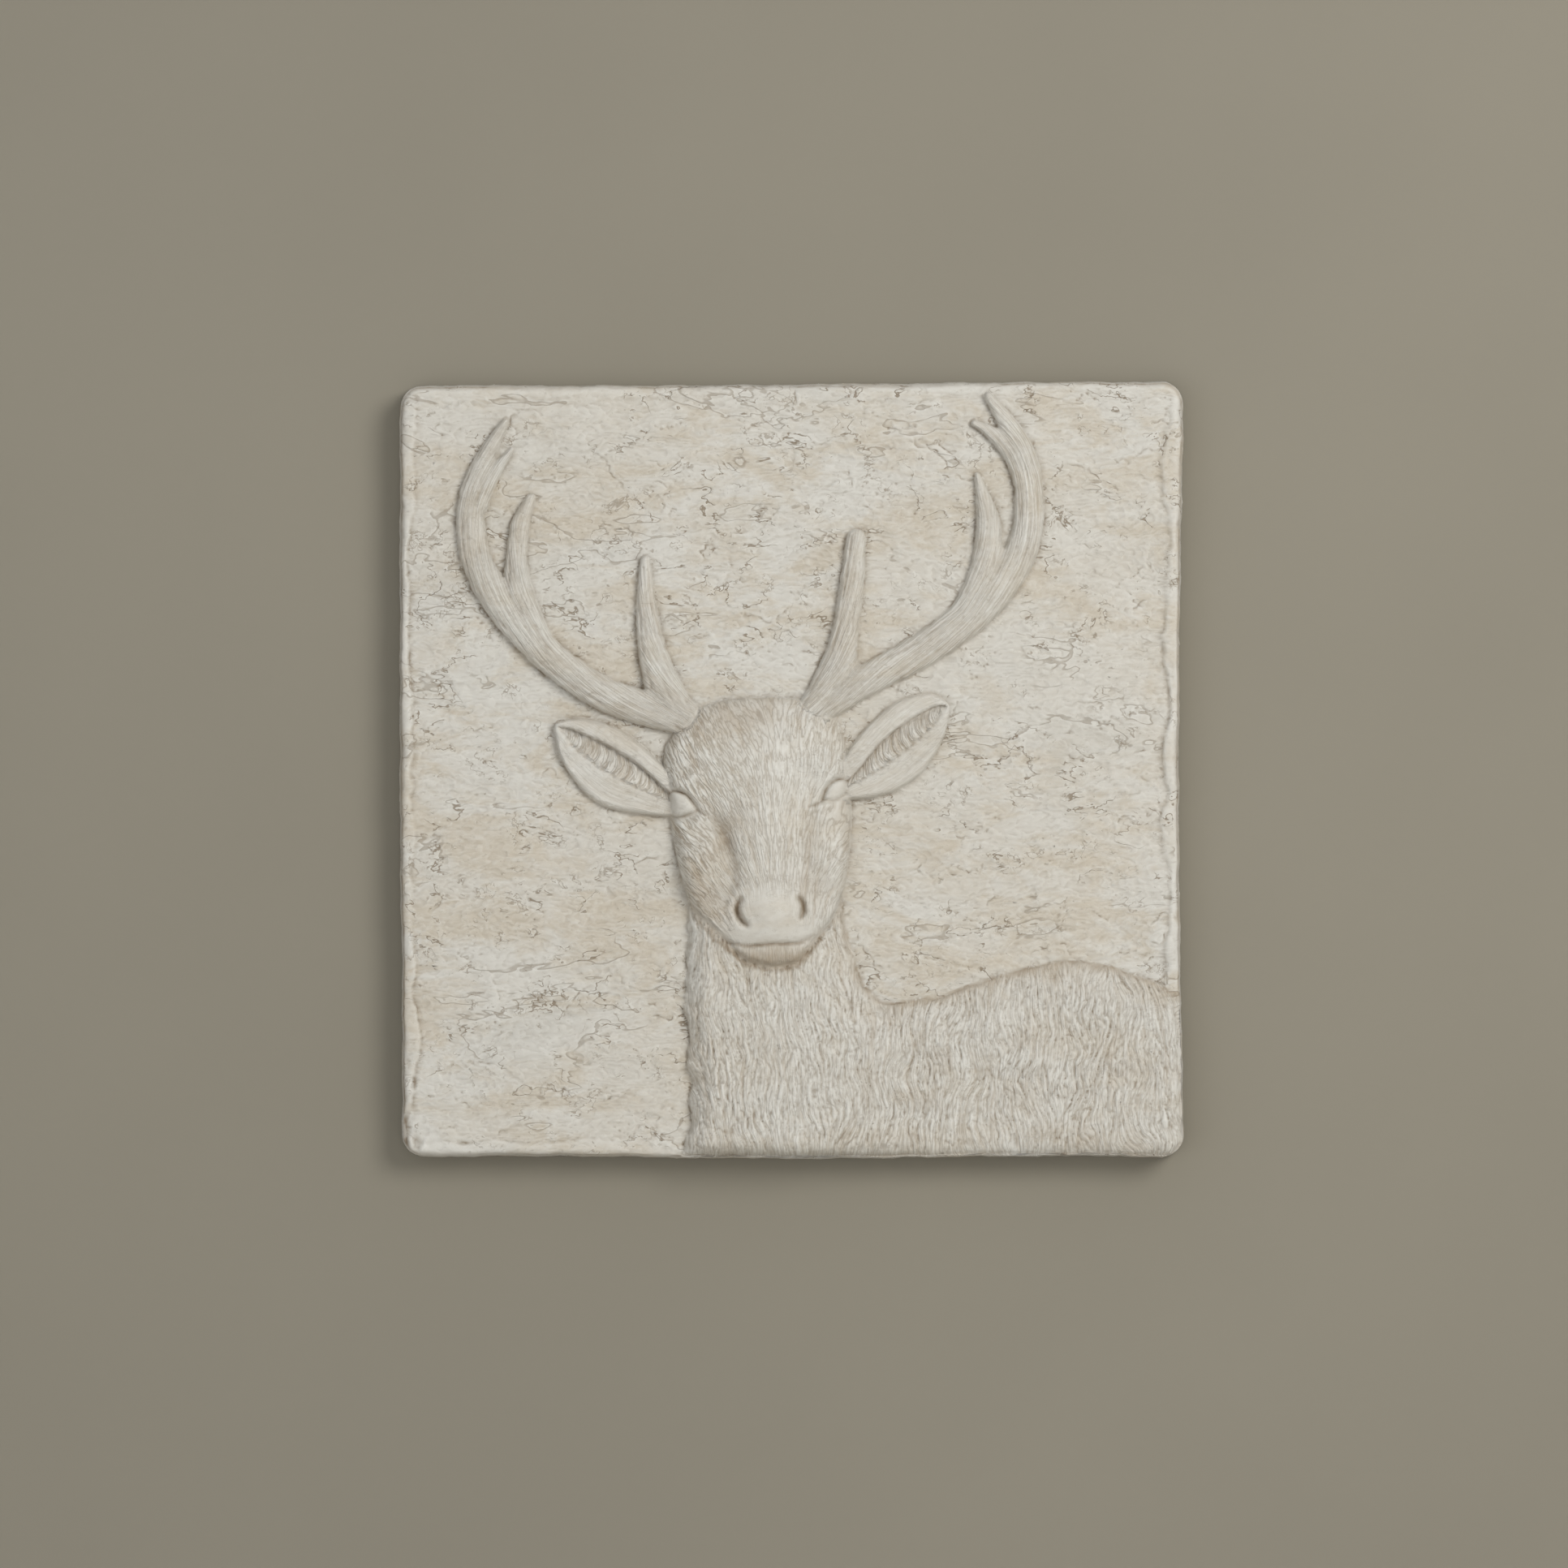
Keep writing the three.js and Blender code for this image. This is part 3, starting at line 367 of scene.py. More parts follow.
def window(points, margin):
    """Part of the grid round some points of the drawing, with a margin in hundredths."""
    points = np.array(points, float)[:, :2]
    low = (points.min(0) - margin) / 100 - 0.5
    high = (points.max(0) + margin) / 100 - 0.5
    first_column = int(np.clip((low[0] * WIDTH + half_width) / GRID_STEP, 0, columns))
    last_column = int(np.clip((high[0] * WIDTH + half_width) / GRID_STEP + 2, 0, columns + 1))
    first_row = int(np.clip((low[1] * HEIGHT + half_height) / GRID_STEP, 0, rows))
    last_row = int(np.clip((high[1] * HEIGHT + half_height) / GRID_STEP + 2, 0, rows + 1))
    return slice(first_row, last_row), slice(first_column, last_column)


# Noise

rng = np.random.default_rng(SEED)
wave_x = np.fft.rfftfreq(columns + 1, GRID_STEP)[None, :]
wave_z = np.fft.fftfreq(rows + 1, GRID_STEP)[:, None]


def filtered(image, share):
    return np.fft.irfft2(np.fft.rfft2(image) * share, s=image.shape)


def blur(image, radius):
    return filtered(image, np.exp(-2 * (np.pi * radius) ** 2 * (wave_x ** 2 + wave_z ** 2)))


def evened(image):
    return (image - image.mean()) / image.std()


def band_noise(length, spread=0.35, stretch=1.0):
    """Noise of about one wavelength, in millimetres, stretched sideways."""
    waves = np.hypot(wave_x * stretch, wave_z) + 1e-9
    return evened(filtered(rng.standard_normal(X.shape), bell(np.log(waves * length) / spread)))


def soft_noise(length, stretch=1.0):
    """Noise with nothing finer than a wavelength, and all that is coarser."""
    waves = np.hypot(wave_x * stretch, wave_z)
    return evened(filtered(rng.standard_normal(X.shape), 1 / (1 + (waves * length) ** 3)))


# Relief: height over the ground, how the coat runs, and how strong its strands and clumps are

relief = np.full(X.shape, -EDGE_SINK * 4)
from_foot = np.full(X.shape, 99.0)
flow_z = np.full(X.shape, -1.0)
flow_x, strands, clumps, strand_across, strand_along = (np.zeros(X.shape) for _ in range(5))
# The third of these darkens crevices, folds and lines with brown wash and painted shade; the last lightens,
# in places as painted highlight.
hair, spread, stain_and_shade, brown, pale = (np.zeros(X.shape) for _ in range(5))
TO_MM = WIDTH / 100
SOLVER_STEP = 2.4
TRUE_TO_FLOW = 5


def level_lines(dx, dz, strictness):
    """A surface that climbs about evenly across a field of directions, and stays nearly level along it."""
    skip = max(round(SOLVER_STEP / GRID_STEP), 1)
    span = skip * GRID_STEP
    coarse_x, coarse_z = dx[::skip, ::skip], dz[::skip, ::skip]
    high, wide = coarse_x.shape
    spot = np.arange(high * wide).reshape(high, wide)
    here, beside, above = spot[:-1, :-1].ravel(), spot[:-1, 1:].ravel(), spot[1:, :-1].ravel()
    way_x, way_z = coarse_x[:-1, :-1].ravel() / span, coarse_z[:-1, :-1].ravel() / span
    matrix = np.zeros((spot.size, spot.size))
    goal = np.zeros(spot.size)
    for slope_x, slope_z, weight, target in ((way_x, way_z, strictness, 0), (-way_z, way_x, 1, 1)):
        terms = ((here, -slope_x - slope_z), (beside, slope_x), (above, slope_z))
        for row, first in terms:
            np.add.at(goal, row, weight * target * first)
            for column, second in terms:
                np.add.at(matrix, (row, column), weight * first * second)
    matrix[np.diag_indices(spot.size)] += 1e-6
    coarse = np.linalg.solve(matrix, goal).reshape(high, wide)
    rows_at = np.minimum(np.arange(dx.shape[0]) / skip, high - 1.001)
    columns_at = np.minimum(np.arange(dx.shape[1]) / skip, wide - 1.001)
    r, c = rows_at.astype(int), columns_at.astype(int)
    down, over = (rows_at - r)[:, None], (columns_at - c)[None, :]
    lower = coarse[r][:, c] * (1 - over) + coarse[r][:, c + 1] * over
    upper = coarse[r + 1][:, c] * (1 - over) + coarse[r + 1][:, c + 1] * over
    return lower * (1 - down) + upper * down


def raise_form(part, height, direction, strand, clump, edge, hairy, stroke=1.0, fineness=1.0, swapped=None):
    """Lays a form over what is there. edge is the distance in from its outline, in millimetres."""
    higher = (height > relief[part]) & (edge > 0)
    across = level_lines(*direction, TRUE_TO_FLOW)
    along = level_lines(-direction[1], direction[0], 1) / stroke
    slope = np.hypot(*np.gradient(across, GRID_STEP))
    across = across * fineness
    if swapped is not None:
        where, other_across, other_along = swapped
        across = np.where(where, other_across, across)
        along = np.where(where, other_along, along)
        slope = np.where(where, 1, slope)
    for grid, values in (
        (relief, height),
        (flow_x, direction[0]),
        (flow_z, direction[1]),
        (strand_across, across),
        (strand_along, along),
        (spread, ramp(slope, 0.85, 0.5)),
        (hair, hairy * ramp(edge, 0.1, 1.1)),
        (strands, strand * ramp(edge, 0.2, 1.4)),
        (clumps, clump * ramp(edge, 0.6, 3)),
    ):
        grid[part][higher] = values[higher]
    from_foot[part] = np.minimum(from_foot[part], np.abs(edge))


def unit(dx, dz):
    size = np.hypot(dx, dz) + 1e-9
    return dx / size, dz / size


# Lengths in millimetres over which the body's coat sways
SWAY_UP, SWAY_ACROSS = 31, 21


def add_body():
    left = curve(NECK_LEFT, 8)
    top = curve(BACK_TOP, 6)
    outline = np.vstack([left, top])
    ring = np.vstack([outline, [BODY_CORNER]])
    part = window(ring, 3)
    gx, gz = GX[part], GZ[part]
    away = nearest(outline, gx, gz)[0]
    within = inside(ring, gx, gz)
    edge = np.where(within, away, -away) + (0.07 * tufts[part] + 0.22 * turns[part] - 0.1) * ramp(away, 3, 0)
    neck = NECK_SHARE * NECK_RISE * ramp(gx, NECK_END_ACROSS, NECK_FULL_ACROSS)
    breast = BREAST_RISE * bell((gx - BREAST[0]) / BREAST[2]) * bell((gz - BREAST[1]) / BREAST[3])
    form = BACK_RISE + neck + breast + LOCK_RISE / 2
    steep = 0.6 * dome(edge / STEEP_EDGE_WIDTH) + 0.4 * ramp(edge, 0, STEEP_EDGE_WIDTH)
    step = GENTLE_EDGE_STEP * dome(edge / GENTLE_EDGE_STEP_WIDTH)
    gentle = step + (1 - GENTLE_EDGE_STEP) * ramp(edge, 0, GENTLE_EDGE_WIDTH)
    towards_back = ramp(gx, STEEP_EDGE_ACROSS, GENTLE_EDGE_ACROSS)
    runs_out = dome((in_from_edge[part] - RELIEF_INSET) / RELIEF_EDGE_WIDTH)
    height = form * ((1 - towards_back) * steep + towards_back * gentle) * runs_out
    height = height * ramp(edge * TO_MM, 0, 0.7) - EDGE_SINK
    x, z = X[part], Z[part]
    sway = np.sin(2 * np.pi * (z / SWAY_UP + 0.5 * np.sin(x / SWAY_ACROSS) + 0.35 * lazy[part]))
    angle = np.radians(4 + 12 * sway + 8 * lazy[part] + 10 * turns[part])
    direction = np.sin(angle), -np.cos(angle)
    clump = (0.9 + 0.2 * np.clip(uneven[part], -1, 1)) * runs_out
    strand = 0.24 * ramp(runs_out, 0, 0.7)
    raise_form(part, height, direction, strand, clump, edge * TO_MM, 0.8, stroke=1.3)
    brown[part] += 0.26 * ramp(turns[part] + 0.5 * lumps[part], 0.2, 1.6) * ramp(gx, 52, 66) * within
    pale[part] += 0.2 * within
    along_back = towards_back * within
    stain_and_shade[part] += 0.3 * along_back * bell((edge - 0.1) / 0.4)
    brown[part] += along_back * (0.5 * bell((edge - 0.2) / 0.7) + 0.2 * bell(edge / 3))


def splat(along, across, values, x, z):
    """Averages scattered samples onto the grid, and says where there are any."""
    wx, wz = wandered(x, z)
    column = np.clip(np.rint((2 * x - wx + half_width) / GRID_STEP).astype(int), 0, columns)
    row = np.clip(np.rint((2 * z - wz + half_height) / GRID_STEP).astype(int), 0, rows)
    spot = row * (columns + 1) + column
    count = np.bincount(spot, minlength=X.size).astype(float)
    filled = count > 0
    count[~filled] = 1
    means = [(np.bincount(spot, value, X.size) / count).reshape(X.shape) for value in values]
    return filled.reshape(X.shape), means


def add_ear(spec):
    upper, lower, hollow_from, hollow_to = spec
    shares = (np.linspace(0, 1, count) for count in EAR_SAMPLES)
    along, across = (grid.ravel() for grid in np.meshgrid(*shares))
    top, low = spline(upper, along), spline(lower, along)
    ahead = np.minimum(along + 0.02, 1)
    back = ahead - 0.02
    place = top + across[:, None] * (low - top)
    run = (spline(upper, ahead) - spline(upper, back)) * (1 - across[:, None])
    run = run + (spline(lower, ahead) - spline(lower, back)) * across[:, None]
    x, z = (place[:, 0] / 100 - 0.5) * WIDTH, (place[:, 1] / 100 - 0.5) * HEIGHT
    filled, means = splat(along, across, (along, across, run[:, 0], run[:, 1]), x, z)
    along, across, run_x, run_z = means
    outline = np.vstack([curve(upper, 10), curve(lower, 10)[::-1]])
    part = window(outline, 3)
    along, across = along[part], across[part]
    away = nearest(np.vstack([outline, outline[:1]]), GX[part], GZ[part])[0] * TO_MM
    edge = np.where(filled[part], away, -away)
    body = EAR_RIM_RISE + (EAR_LOBE_RISE - EAR_RIM_RISE) * ramp(across, EAR_BODY_FROM, EAR_BODY_TO)
    rolled = dome(np.minimum(across, 1 - across) / EAR_EDGE) * dome(along / EAR_ROOT)
    rolled = rolled * dome((1 - along) / EAR_TIP)
    wavy = 0.003 * tufts[part]
    ends = ramp(along, 0.04, 0.12) * ramp(along, 0.97, 0.88)
    upper_edge = hollow_from + 0.2 * ramp(along, 0.4, 0.02) + 0.05 * ramp(along, 0.8, 1) + wavy
    strand_place = EAR_LENGTH * along - 0.3 * EAR_WIDTH * across - 2.5 * bell((across - upper_edge) / 0.12)
    combs = np.abs(np.sin(np.pi * strand_place / COMB_SPACING))
    lower_edge = hollow_to - 0.16 * ramp(along, 0.7, 1) + 0.03 * combs
    hollow = ramp(across, upper_edge, upper_edge + 0.04) * ramp(across, lower_edge + 0.04, lower_edge - 0.03)
    hollow = hollow * ends
    floor = EAR_HOLLOW_RISE + 0.9 + 1.4 * ramp(across, upper_edge, lower_edge) + 0.5 * combs
    height = rolled * (body + (floor - body) * hollow)
    crevice = bell((across - upper_edge - 0.02) / 0.016) * ends
    lower_crease = bell((across - lower_edge - 0.01) / 0.018) * ends * ramp(combs, 0.9, 0.3)
    lower_rim = bell((across - 0.84) / 0.03) * ramp(along, 0.1, 0.3)
    height = height - 0.7 * crevice - 0.5 * lower_crease - 0.25 * lower_rim
    height = height + 0.25 * bell((across - 0.9) / 0.05) * ends
    height = height * ramp(edge, 0, 0.7) - EDGE_SINK
    direction = unit(run_x[part], run_z[part])
    hairs = 0.4 + 1.0 * hollow
    swapped = hollow > 0.3, 1.35 * strand_place, 1.1 * EAR_WIDTH * across
    strand, clump = 0.06 * (1 - hollow), 0.1 * (1 - hollow)
    raise_form(part, height, direction, strand, clump, edge, hairs, stroke=1.8, fineness=1.2, swapped=swapped)
    # The ear's crevices darkened with wash and painted shade.
    stain_and_shade[part] += (0.5 * crevice + 0.5 * lower_crease + 0.25 * hollow * ramp(combs, 0.5, 0.1)) * (edge > 0)
    brown[part] += (0.3 * bell((across - 0.06) / 0.08) * ramp(along, 0.2, 0.5) + 0.08 * hollow) * (edge > 0)


def add_antlers(branches):
    """One antler: its branches run together with a small web in each fork."""
    part = window([point for points in branches for point in points], 5)
    gx, gz = GX[part], GZ[part]
    total, halves, dx, dz, sides = (np.zeros(gx.shape) for _ in range(5))
    for points in branches:
        line = curve(points, 10)
        away, share, side = nearest(line, gx, gz)
        place = np.linspace(0, 1, len(line))
        half = np.interp(share, place, line[:, 2])
        weight = np.exp((half - away) * TO_MM / ANTLER_WEB)
        tangent = np.gradient(line[:, :2], axis=0)
        way = unit(np.interp(share, place, tangent[:, 0]), np.interp(share, place, tangent[:, 1]))
        total += weight
        halves += weight * half
        sides += weight * side * away / half
        dx += weight * way[0]
        dz += weight * way[1]
    total = np.maximum(total, 1e-200)
    half = np.maximum(halves / total, 0.3)
    edge = ANTLER_WEB * np.log(total) + 0.12 * tufts[part] * ramp(half, 0, 2)
    s = np.clip(1 - edge / (half * TO_MM), 0, 1)
    fullness = np.clip(half / ANTLER_FULL_HALF_WIDTH, 0, 1)
    power = 2 / ANTLER_ROUNDNESS
    arch = (1 - s ** power) ** (1 / power)
    height = ANTLER_RISE * (THIN_ANTLER_SHARE + (1 - THIN_ANTLER_SHARE) * fullness) * arch
    leaning = sides / total + 0.1 * lazy[part]
    flutes = np.zeros(gx.shape)
    for place, width, depth in FLUTES:
        flutes += depth * bell((leaning - place) / width)
    flutes = flutes * np.clip(0.7 + 0.5 * turns[part], 0.1, 1.3) * ramp(half, 0.6, 1.4)
    height = height * ramp(edge, 0, 0.5) - EDGE_SINK - 0.5 * flutes
    raise_form(part, height, unit(dx, dz), 0.14, 0.3, edge, 0.75, stroke=3.6, fineness=1.7)
    # The flutes' grooves darkened with wash and painted shade.
    stain_and_shade[part] += 0.3 * flutes * (edge > 0)
    brown[part] += 0.14 * ramp(turns[part], -0.2, 1.2) * (edge > 0)


def turned(gx, gz, across, up, half_across, half_up, turn=0.0):
    """Places in the half lengths of a turned ellipse, measured from its middle."""
    a = math.radians(turn)
    dx, dz = gx - across, gz - up
    p = (dx * math.cos(a) - dz * math.sin(a)) / half_across
    q = (dx * math.sin(a) + dz * math.cos(a)) / half_up
    return p, q


def swell(gx, gz, *ellipse):
    p, q = turned(gx, gz, *ellipse)
    return bell(p) * bell(q)


def with_swells(base, gx, gz, swells):
    for amount, *shape in swells:
        base = base + amount * swell(gx, gz, *shape)
    return base


def add_face():
    right, left = curve(FACE_RIGHT, 8), curve(FACE_LEFT, 8)
    ring = np.vstack([curve(FACE_BOTTOM, 6), right, curve(FACE_TOP, 6)[::-1], left[::-1]])
    part = window(ring, 3)
    gx, gz = GX[part], GZ[part]
    away = nearest(ring, gx, gz)[0]
    edge = np.where(inside(ring, gx, gz), away, -away)
    ragged = 0.5 * ramp(gz, 47, 56) + 0.6 * ramp(gz, 34, 28) * ramp(gx, 44, 40)
    edge = edge + 0.12 * tufts[part] * ragged * ramp(away, 3, 0)
    edge_width = FACE_EDGE_WIDTH + (CROWN_EDGE_WIDTH - FACE_EDGE_WIDTH) * ramp(gz, CROWN_FROM, CROWN_FULL)
    heights = [FACE_EDGE_RISE * dome(edge / edge_width)]
    for *ellipse, rise, power in FACE_MASSES:
        p, q = turned(gx, gz, *ellipse)
        heights.append(rise * np.maximum(1 - p * p - q * q, 0) ** power)
    height = MASS_BLEND * np.log(sum(np.exp(h / MASS_BLEND) for h in heights))
    smooth = np.zeros(gx.shape)
    # Darkening in the face's folds, lids, nostrils and mouth: wash and painted shade.
    hollow_wash_and_shade = np.zeros(gx.shape)
    lit = np.zeros(gx.shape)
    for fold, depth in zip(CHEEK_FOLDS, CHEEK_FOLD_DEPTHS):
        gap, share, _ = nearest(curve(fold, 6), gx, gz)
        fade = np.sin(np.pi * (FOLD_FADE + (1 - 2 * FOLD_FADE) * share))
        height = height - depth * bell(gap / 0.85) * fade
        hollow_wash_and_shade = hollow_wash_and_shade + 0.3 * depth * bell(gap / 0.7) * fade
    height = with_swells(height, gx, gz, FACE_SWELLS)
    for outline, lid in zip(EYE_OUTLINES, LIDS):
        closed = curve(outline + outline[:1], 5)
        gap = nearest(closed, gx, gz)[0]
        e = np.where(inside(closed, gx, gz), gap, -gap)
        height = height - 0.8 * ramp(e, -1, 0.1) + 2.3 * dome(e / 1.4) - 0.5 * bell((e + 0.08) / 0.2)
        smooth = np.maximum(smooth, ramp(e, -0.9, -0.1))
        gap, share, _ = nearest(curve(lid, 6), gx, gz)
        height = height - 0.6 * bell(gap / 0.17) + 0.35 * bell((gap - 0.55) / 0.35) * (e < 0)
        hollow_wash_and_shade = hollow_wash_and_shade + 0.5 * bell(gap / 0.16) + 0.3 * bell((e + 0.08) / 0.16)
    height = with_swells(height, gx, gz, LOWER_LID_SWELLS)
    hollow_wash_and_shade = with_swells(hollow_wash_and_shade, gx, gz, LOWER_LID_DARKENING)
    for nostril, wing in zip(NOSTRILS, NOSTRIL_WINGS):
        gap, share, _ = nearest(curve(nostril, 6), gx, gz)
        ends = np.sqrt(np.sin(np.pi * (0.1 + 0.8 * share)))
        height = height - 2.4 * bell(gap / 0.32) * ends + 0.5 * bell((gap - 0.9) / 0.35) * ends
        height = height + 0.5 * swell(gx, gz, *wing, 0.6, 1.7)
        hollow_wash_and_shade = hollow_wash_and_shade + 1.1 * bell(gap / 0.29) * ends
        # Painted highlight on the raised rims round the nostrils.
        lit = lit + 0.6 * bell((gap - 0.85) / 0.28) * ends
    gap, share, _ = nearest(curve(MOUTH, 6), gx, gz)
    ends = np.sin(np.pi * (0.05 + 0.9 * share)) ** 0.4
    height = height - 1.3 * bell(gap / 0.26) * ends + 0.4 * swell(gx, gz, 47.4, 26.2, 5.8, 1.2)
    hollow_wash_and_shade = hollow_wash_and_shade + 0.6 * bell(gap / 0.24) * ends
    height = height * dome(edge / FACE_ROOT_WIDTH) * ramp(edge * TO_MM, 0, 0.7) - EDGE_SINK
    smooth = np.maximum(smooth, np.clip(1.5 * with_swells(0, gx, gz, BARE_PADS), 0, 1))
    weight = np.zeros(gx.shape)
    dx, dz = np.zeros(gx.shape), np.zeros(gx.shape)
    for across, up, angle in FACE_FLOW:
        near = 1 / ((gx - across) ** 2 + (gz - up) ** 2 + 0.5) ** 2
        weight += near
        dx += near * math.sin(math.radians(angle))
        dz -= near * math.cos(math.radians(angle))
    direction = unit(dx, dz)
    fur = 1 - smooth
    clump = (0.2 + 0.2 * ramp(gz, 54, 59)) * fur * ramp(gz, 25.5, 28.5)
    hairy = fur * (1 + 0.5 * ramp(gx, 43, 36)) * (1 - 0.25 * ramp(gz, 28, 26))
    raise_form(part, height, direction, 0.14 * fur, clump, edge * TO_MM, hairy, stroke=0.8)
    # A paler face, with painted highlight on the forehead, the bridge and the nostril rims.
    pale[part] += (with_swells(FACE_PALE, gx, gz, FACE_HIGHLIGHT_PATCHES) + lit) * (edge > 0)
    tint = with_swells(0, gx, gz, FACE_BROWN_PATCHES)
    # Painted shade, in brown, along the underside of the jaw.
    tint = tint + 0.55 * bell(nearest(curve(JAW_SHADE_LINE, 6), gx, gz)[0] / 0.75)
    # Painted shade along the lower edge of the face, under the chin and jaw.
    hollow_wash_and_shade = hollow_wash_and_shade + 0.55 * bell((edge - 0.1) / 0.3) * ramp(gz, 32.5, 29)
    brown[part] = np.where(edge > 0, tint, brown[part])
    stain_and_shade[part] += (np.clip(hollow_wash_and_shade, 0, 1.2) + 0.2 * tint) * (edge > 0)


lazy = soft_noise(40)
lumps = soft_noise(9)
tufts = soft_noise(4.5)
turns = soft_noise(14)
uneven = soft_noise(22)
add_body()
for ear in EARS:
    add_ear(ear)
add_antlers(ANTLERS[:BRANCHES])
add_antlers(ANTLERS[BRANCHES:])
add_face()

# The strand coordinates run on past the outlines, and strokes fade where two forms' coordinates meet.
RUN_ON_STEPS = 7
covered = hair > 0
for _ in range(RUN_ON_STEPS):
    for axis, shift in ((0, 1), (0, -1), (1, 1), (1, -1)):
        found = np.roll(covered, shift, axis) & ~covered
        for strand_grid in (strand_across, strand_along):
            strand_grid[found] = np.roll(strand_grid, shift, axis)[found]
        covered |= found
seam = np.hypot(*np.gradient(strand_across, GRID_STEP)) * covered
hair *= ramp(blur(seam, 0.5), 8, 4)
relief_share = ramp(relief, -0.2, 0.6)


# Coat: noise drawn out along the way that the hair runs. Its zero lines are the partings.

coat_rows, coat_columns = np.nonzero(strands + clumps > 0)
coat_dx, coat_dz = flow_x[coat_rows, coat_columns], flow_z[coat_rows, coat_columns]


def drawn_out(image, length):
    """The image smeared along the flow, over a length in millimetres."""
    total = image[coat_rows, coat_columns].copy()
    steps = max(int(length / 2 / GRID_STEP), 2)
    for sign in (1, -1):
        row, column = coat_rows.astype(float), coat_columns.astype(float)
        dx, dz = coat_dx, coat_dz
        for _ in range(steps):
            row = np.clip(row + sign * dz, 0, rows)
            column = np.clip(column + sign * dx, 0, columns)
            r, c = np.rint(row).astype(int), np.rint(column).astype(int)
            total += image[r, c]
            dx, dz = flow_x[r, c], flow_z[r, c]
    result = np.zeros(X.shape)
    result[coat_rows, coat_columns] = total / total.std()
    return result


def partings(image, sharpness):
    return 1 - np.exp(-sharpness * np.abs(image))


fine = partings(drawn_out(band_noise(2.6, 0.45), 6), 2.2)
coarse = partings(drawn_out(band_noise(8, 0.6), 16), 1.6)
middle = partings(drawn_out(band_noise(4.4, 0.5), 8), 1.8)
coat = strands * (fine - 0.75) * 1.1 + clumps * (0.5 * (coarse - 0.65) + 0.5 * (middle - 0.65)) * 1.3
valleys = np.clip(0.4 - coarse, 0, 1) + np.clip(0.4 - middle, 0, 1)
furrow = strands * 1.2 * np.clip(0.55 - fine, 0, 1) + clumps * 0.55 * valleys


# Ground: broad unevenness, faint ledges, wriggling cracks, pits and beads

def step_lines(length, stretch, levels, depth):
    """Long faint ledges, where a slow noise crosses from one level to the next."""
    slow = soft_noise(length, stretch) * levels + 0.22 * soft_noise(4, 1.6)
    part = slow - np.floor(slow)
    return depth * (ramp(part, 0.9, 1) - part)


ground = 0.3 * soft_noise(70) + 0.08 * soft_noise(14)
ground = ground + step_lines(22, 3, 1.6, 0.3) + step_lines(9, 3.4, 1.3, 0.22)
ground = ground + 0.05 * band_noise(6, 0.6, 3)
cracks = np.zeros(X.shape)
chips = np.zeros(X.shape)

CRACKS = 380
CRACK_STEP = 0.9
for _ in range(CRACKS):
    reach = rng.uniform(4, 10) + rng.exponential(7)
    lean = rng.normal(0, 0.45) + (rng.random() < 0.12) * rng.uniform(-1.4, 1.4)
    point = np.array([rng.uniform(2, 98), rng.uniform(2, 98)])
    heading = lean
    path = [point.copy()]
    for _ in range(int(reach / CRACK_STEP)):
        heading += rng.normal(0, 0.5) - 0.3 * (heading - lean) + (rng.random() < 0.14) * rng.normal(0, 1.1)
        point += np.array([math.cos(heading), math.sin(heading)]) * CRACK_STEP / TO_MM
        path.append(point.copy())
    part = window(path, 2)
    if X[part].size == 0:
        continue
    gap, share, side = nearest(path, GX[part], GZ[part])
    gap = gap * TO_MM
    ends = np.sqrt(np.sin(np.pi * (0.04 + 0.92 * share)))
    depth = rng.uniform(0.12, 0.4) * (rng.random() < 0.6) + 0.06
    line = bell(gap / 0.26) * ends * np.clip(0.7 + 0.8 * tufts[part], 0, 1)
    ledge_side = rng.choice([-1, 1])
    ground[part] += rng.uniform(0.05, 0.3) * np.exp(-gap / 2.2) * (side == ledge_side) * ends - depth * line
    cracks[part] = np.maximum(cracks[part], line * min(depth * 3, 1))
    rubbed = 0.6 * bell((gap - 0.6) / 0.4) * (side == ledge_side) * ends * (depth > 0.3)
    chips[part] = np.maximum(chips[part], rubbed)

CLUSTERS = 90
for _ in range(CLUSTERS):
    middle_x, middle_z = rng.uniform(2, 98, 2)
    for _ in range(rng.integers(3, 11)):
        spot = [(middle_x + rng.normal(0, 1.1), middle_z + rng.normal(0, 0.7))]
        part = window(spot, 1)
        if X[part].size == 0:
            continue
        size = rng.uniform(0.25, 0.6)
        rise = rng.choice([-0.45, -0.3, 0.3], p=[0.4, 0.3, 0.3])
        dot = bell(np.hypot(GX[part] - spot[0][0], GZ[part] - spot[0][1]) * TO_MM / size)
        ground[part] += rise * dot
        cracks[part] = np.maximum(cracks[part], dot * (rise < 0) * 0.55)
        chips[part] = np.maximum(chips[part], dot * (rise > 0) * 0.7)

# Rim and rounded edge of the tile
rim_width = RIM_WIDTH - 1.2 + 1.1 * soft_noise(40) + 0.35 * soft_noise(9)
rim_height = RIM_RISE * (0.85 + 0.2 * soft_noise(45)) * (1 - 0.7 * ramp(GZ, 94, 97))
rim_height = np.clip(rim_height * (1 - 0.4 * ramp(GZ, 6, 3)), 0.1, 1.3)
rim = rim_height * ramp(in_from_edge - SIDE_DRAFT, rim_width + 0.6 * RIM_SLOPE, rim_width)
rim_foot = bell((in_from_edge - SIDE_DRAFT - rim_width - 0.6 * RIM_SLOPE) / 0.5) * rim_height
rounding = FRONT_EDGE_ROUNDING * (dome((in_from_edge - SIDE_DRAFT) / FRONT_EDGE_ROUNDING) - 1)
edge_share = ramp(in_from_edge, SIDE_DRAFT, SIDE_DRAFT + 2.2)
tile_front = rim + rounding + ground * (0.25 + 0.75 * edge_share) * edge_share

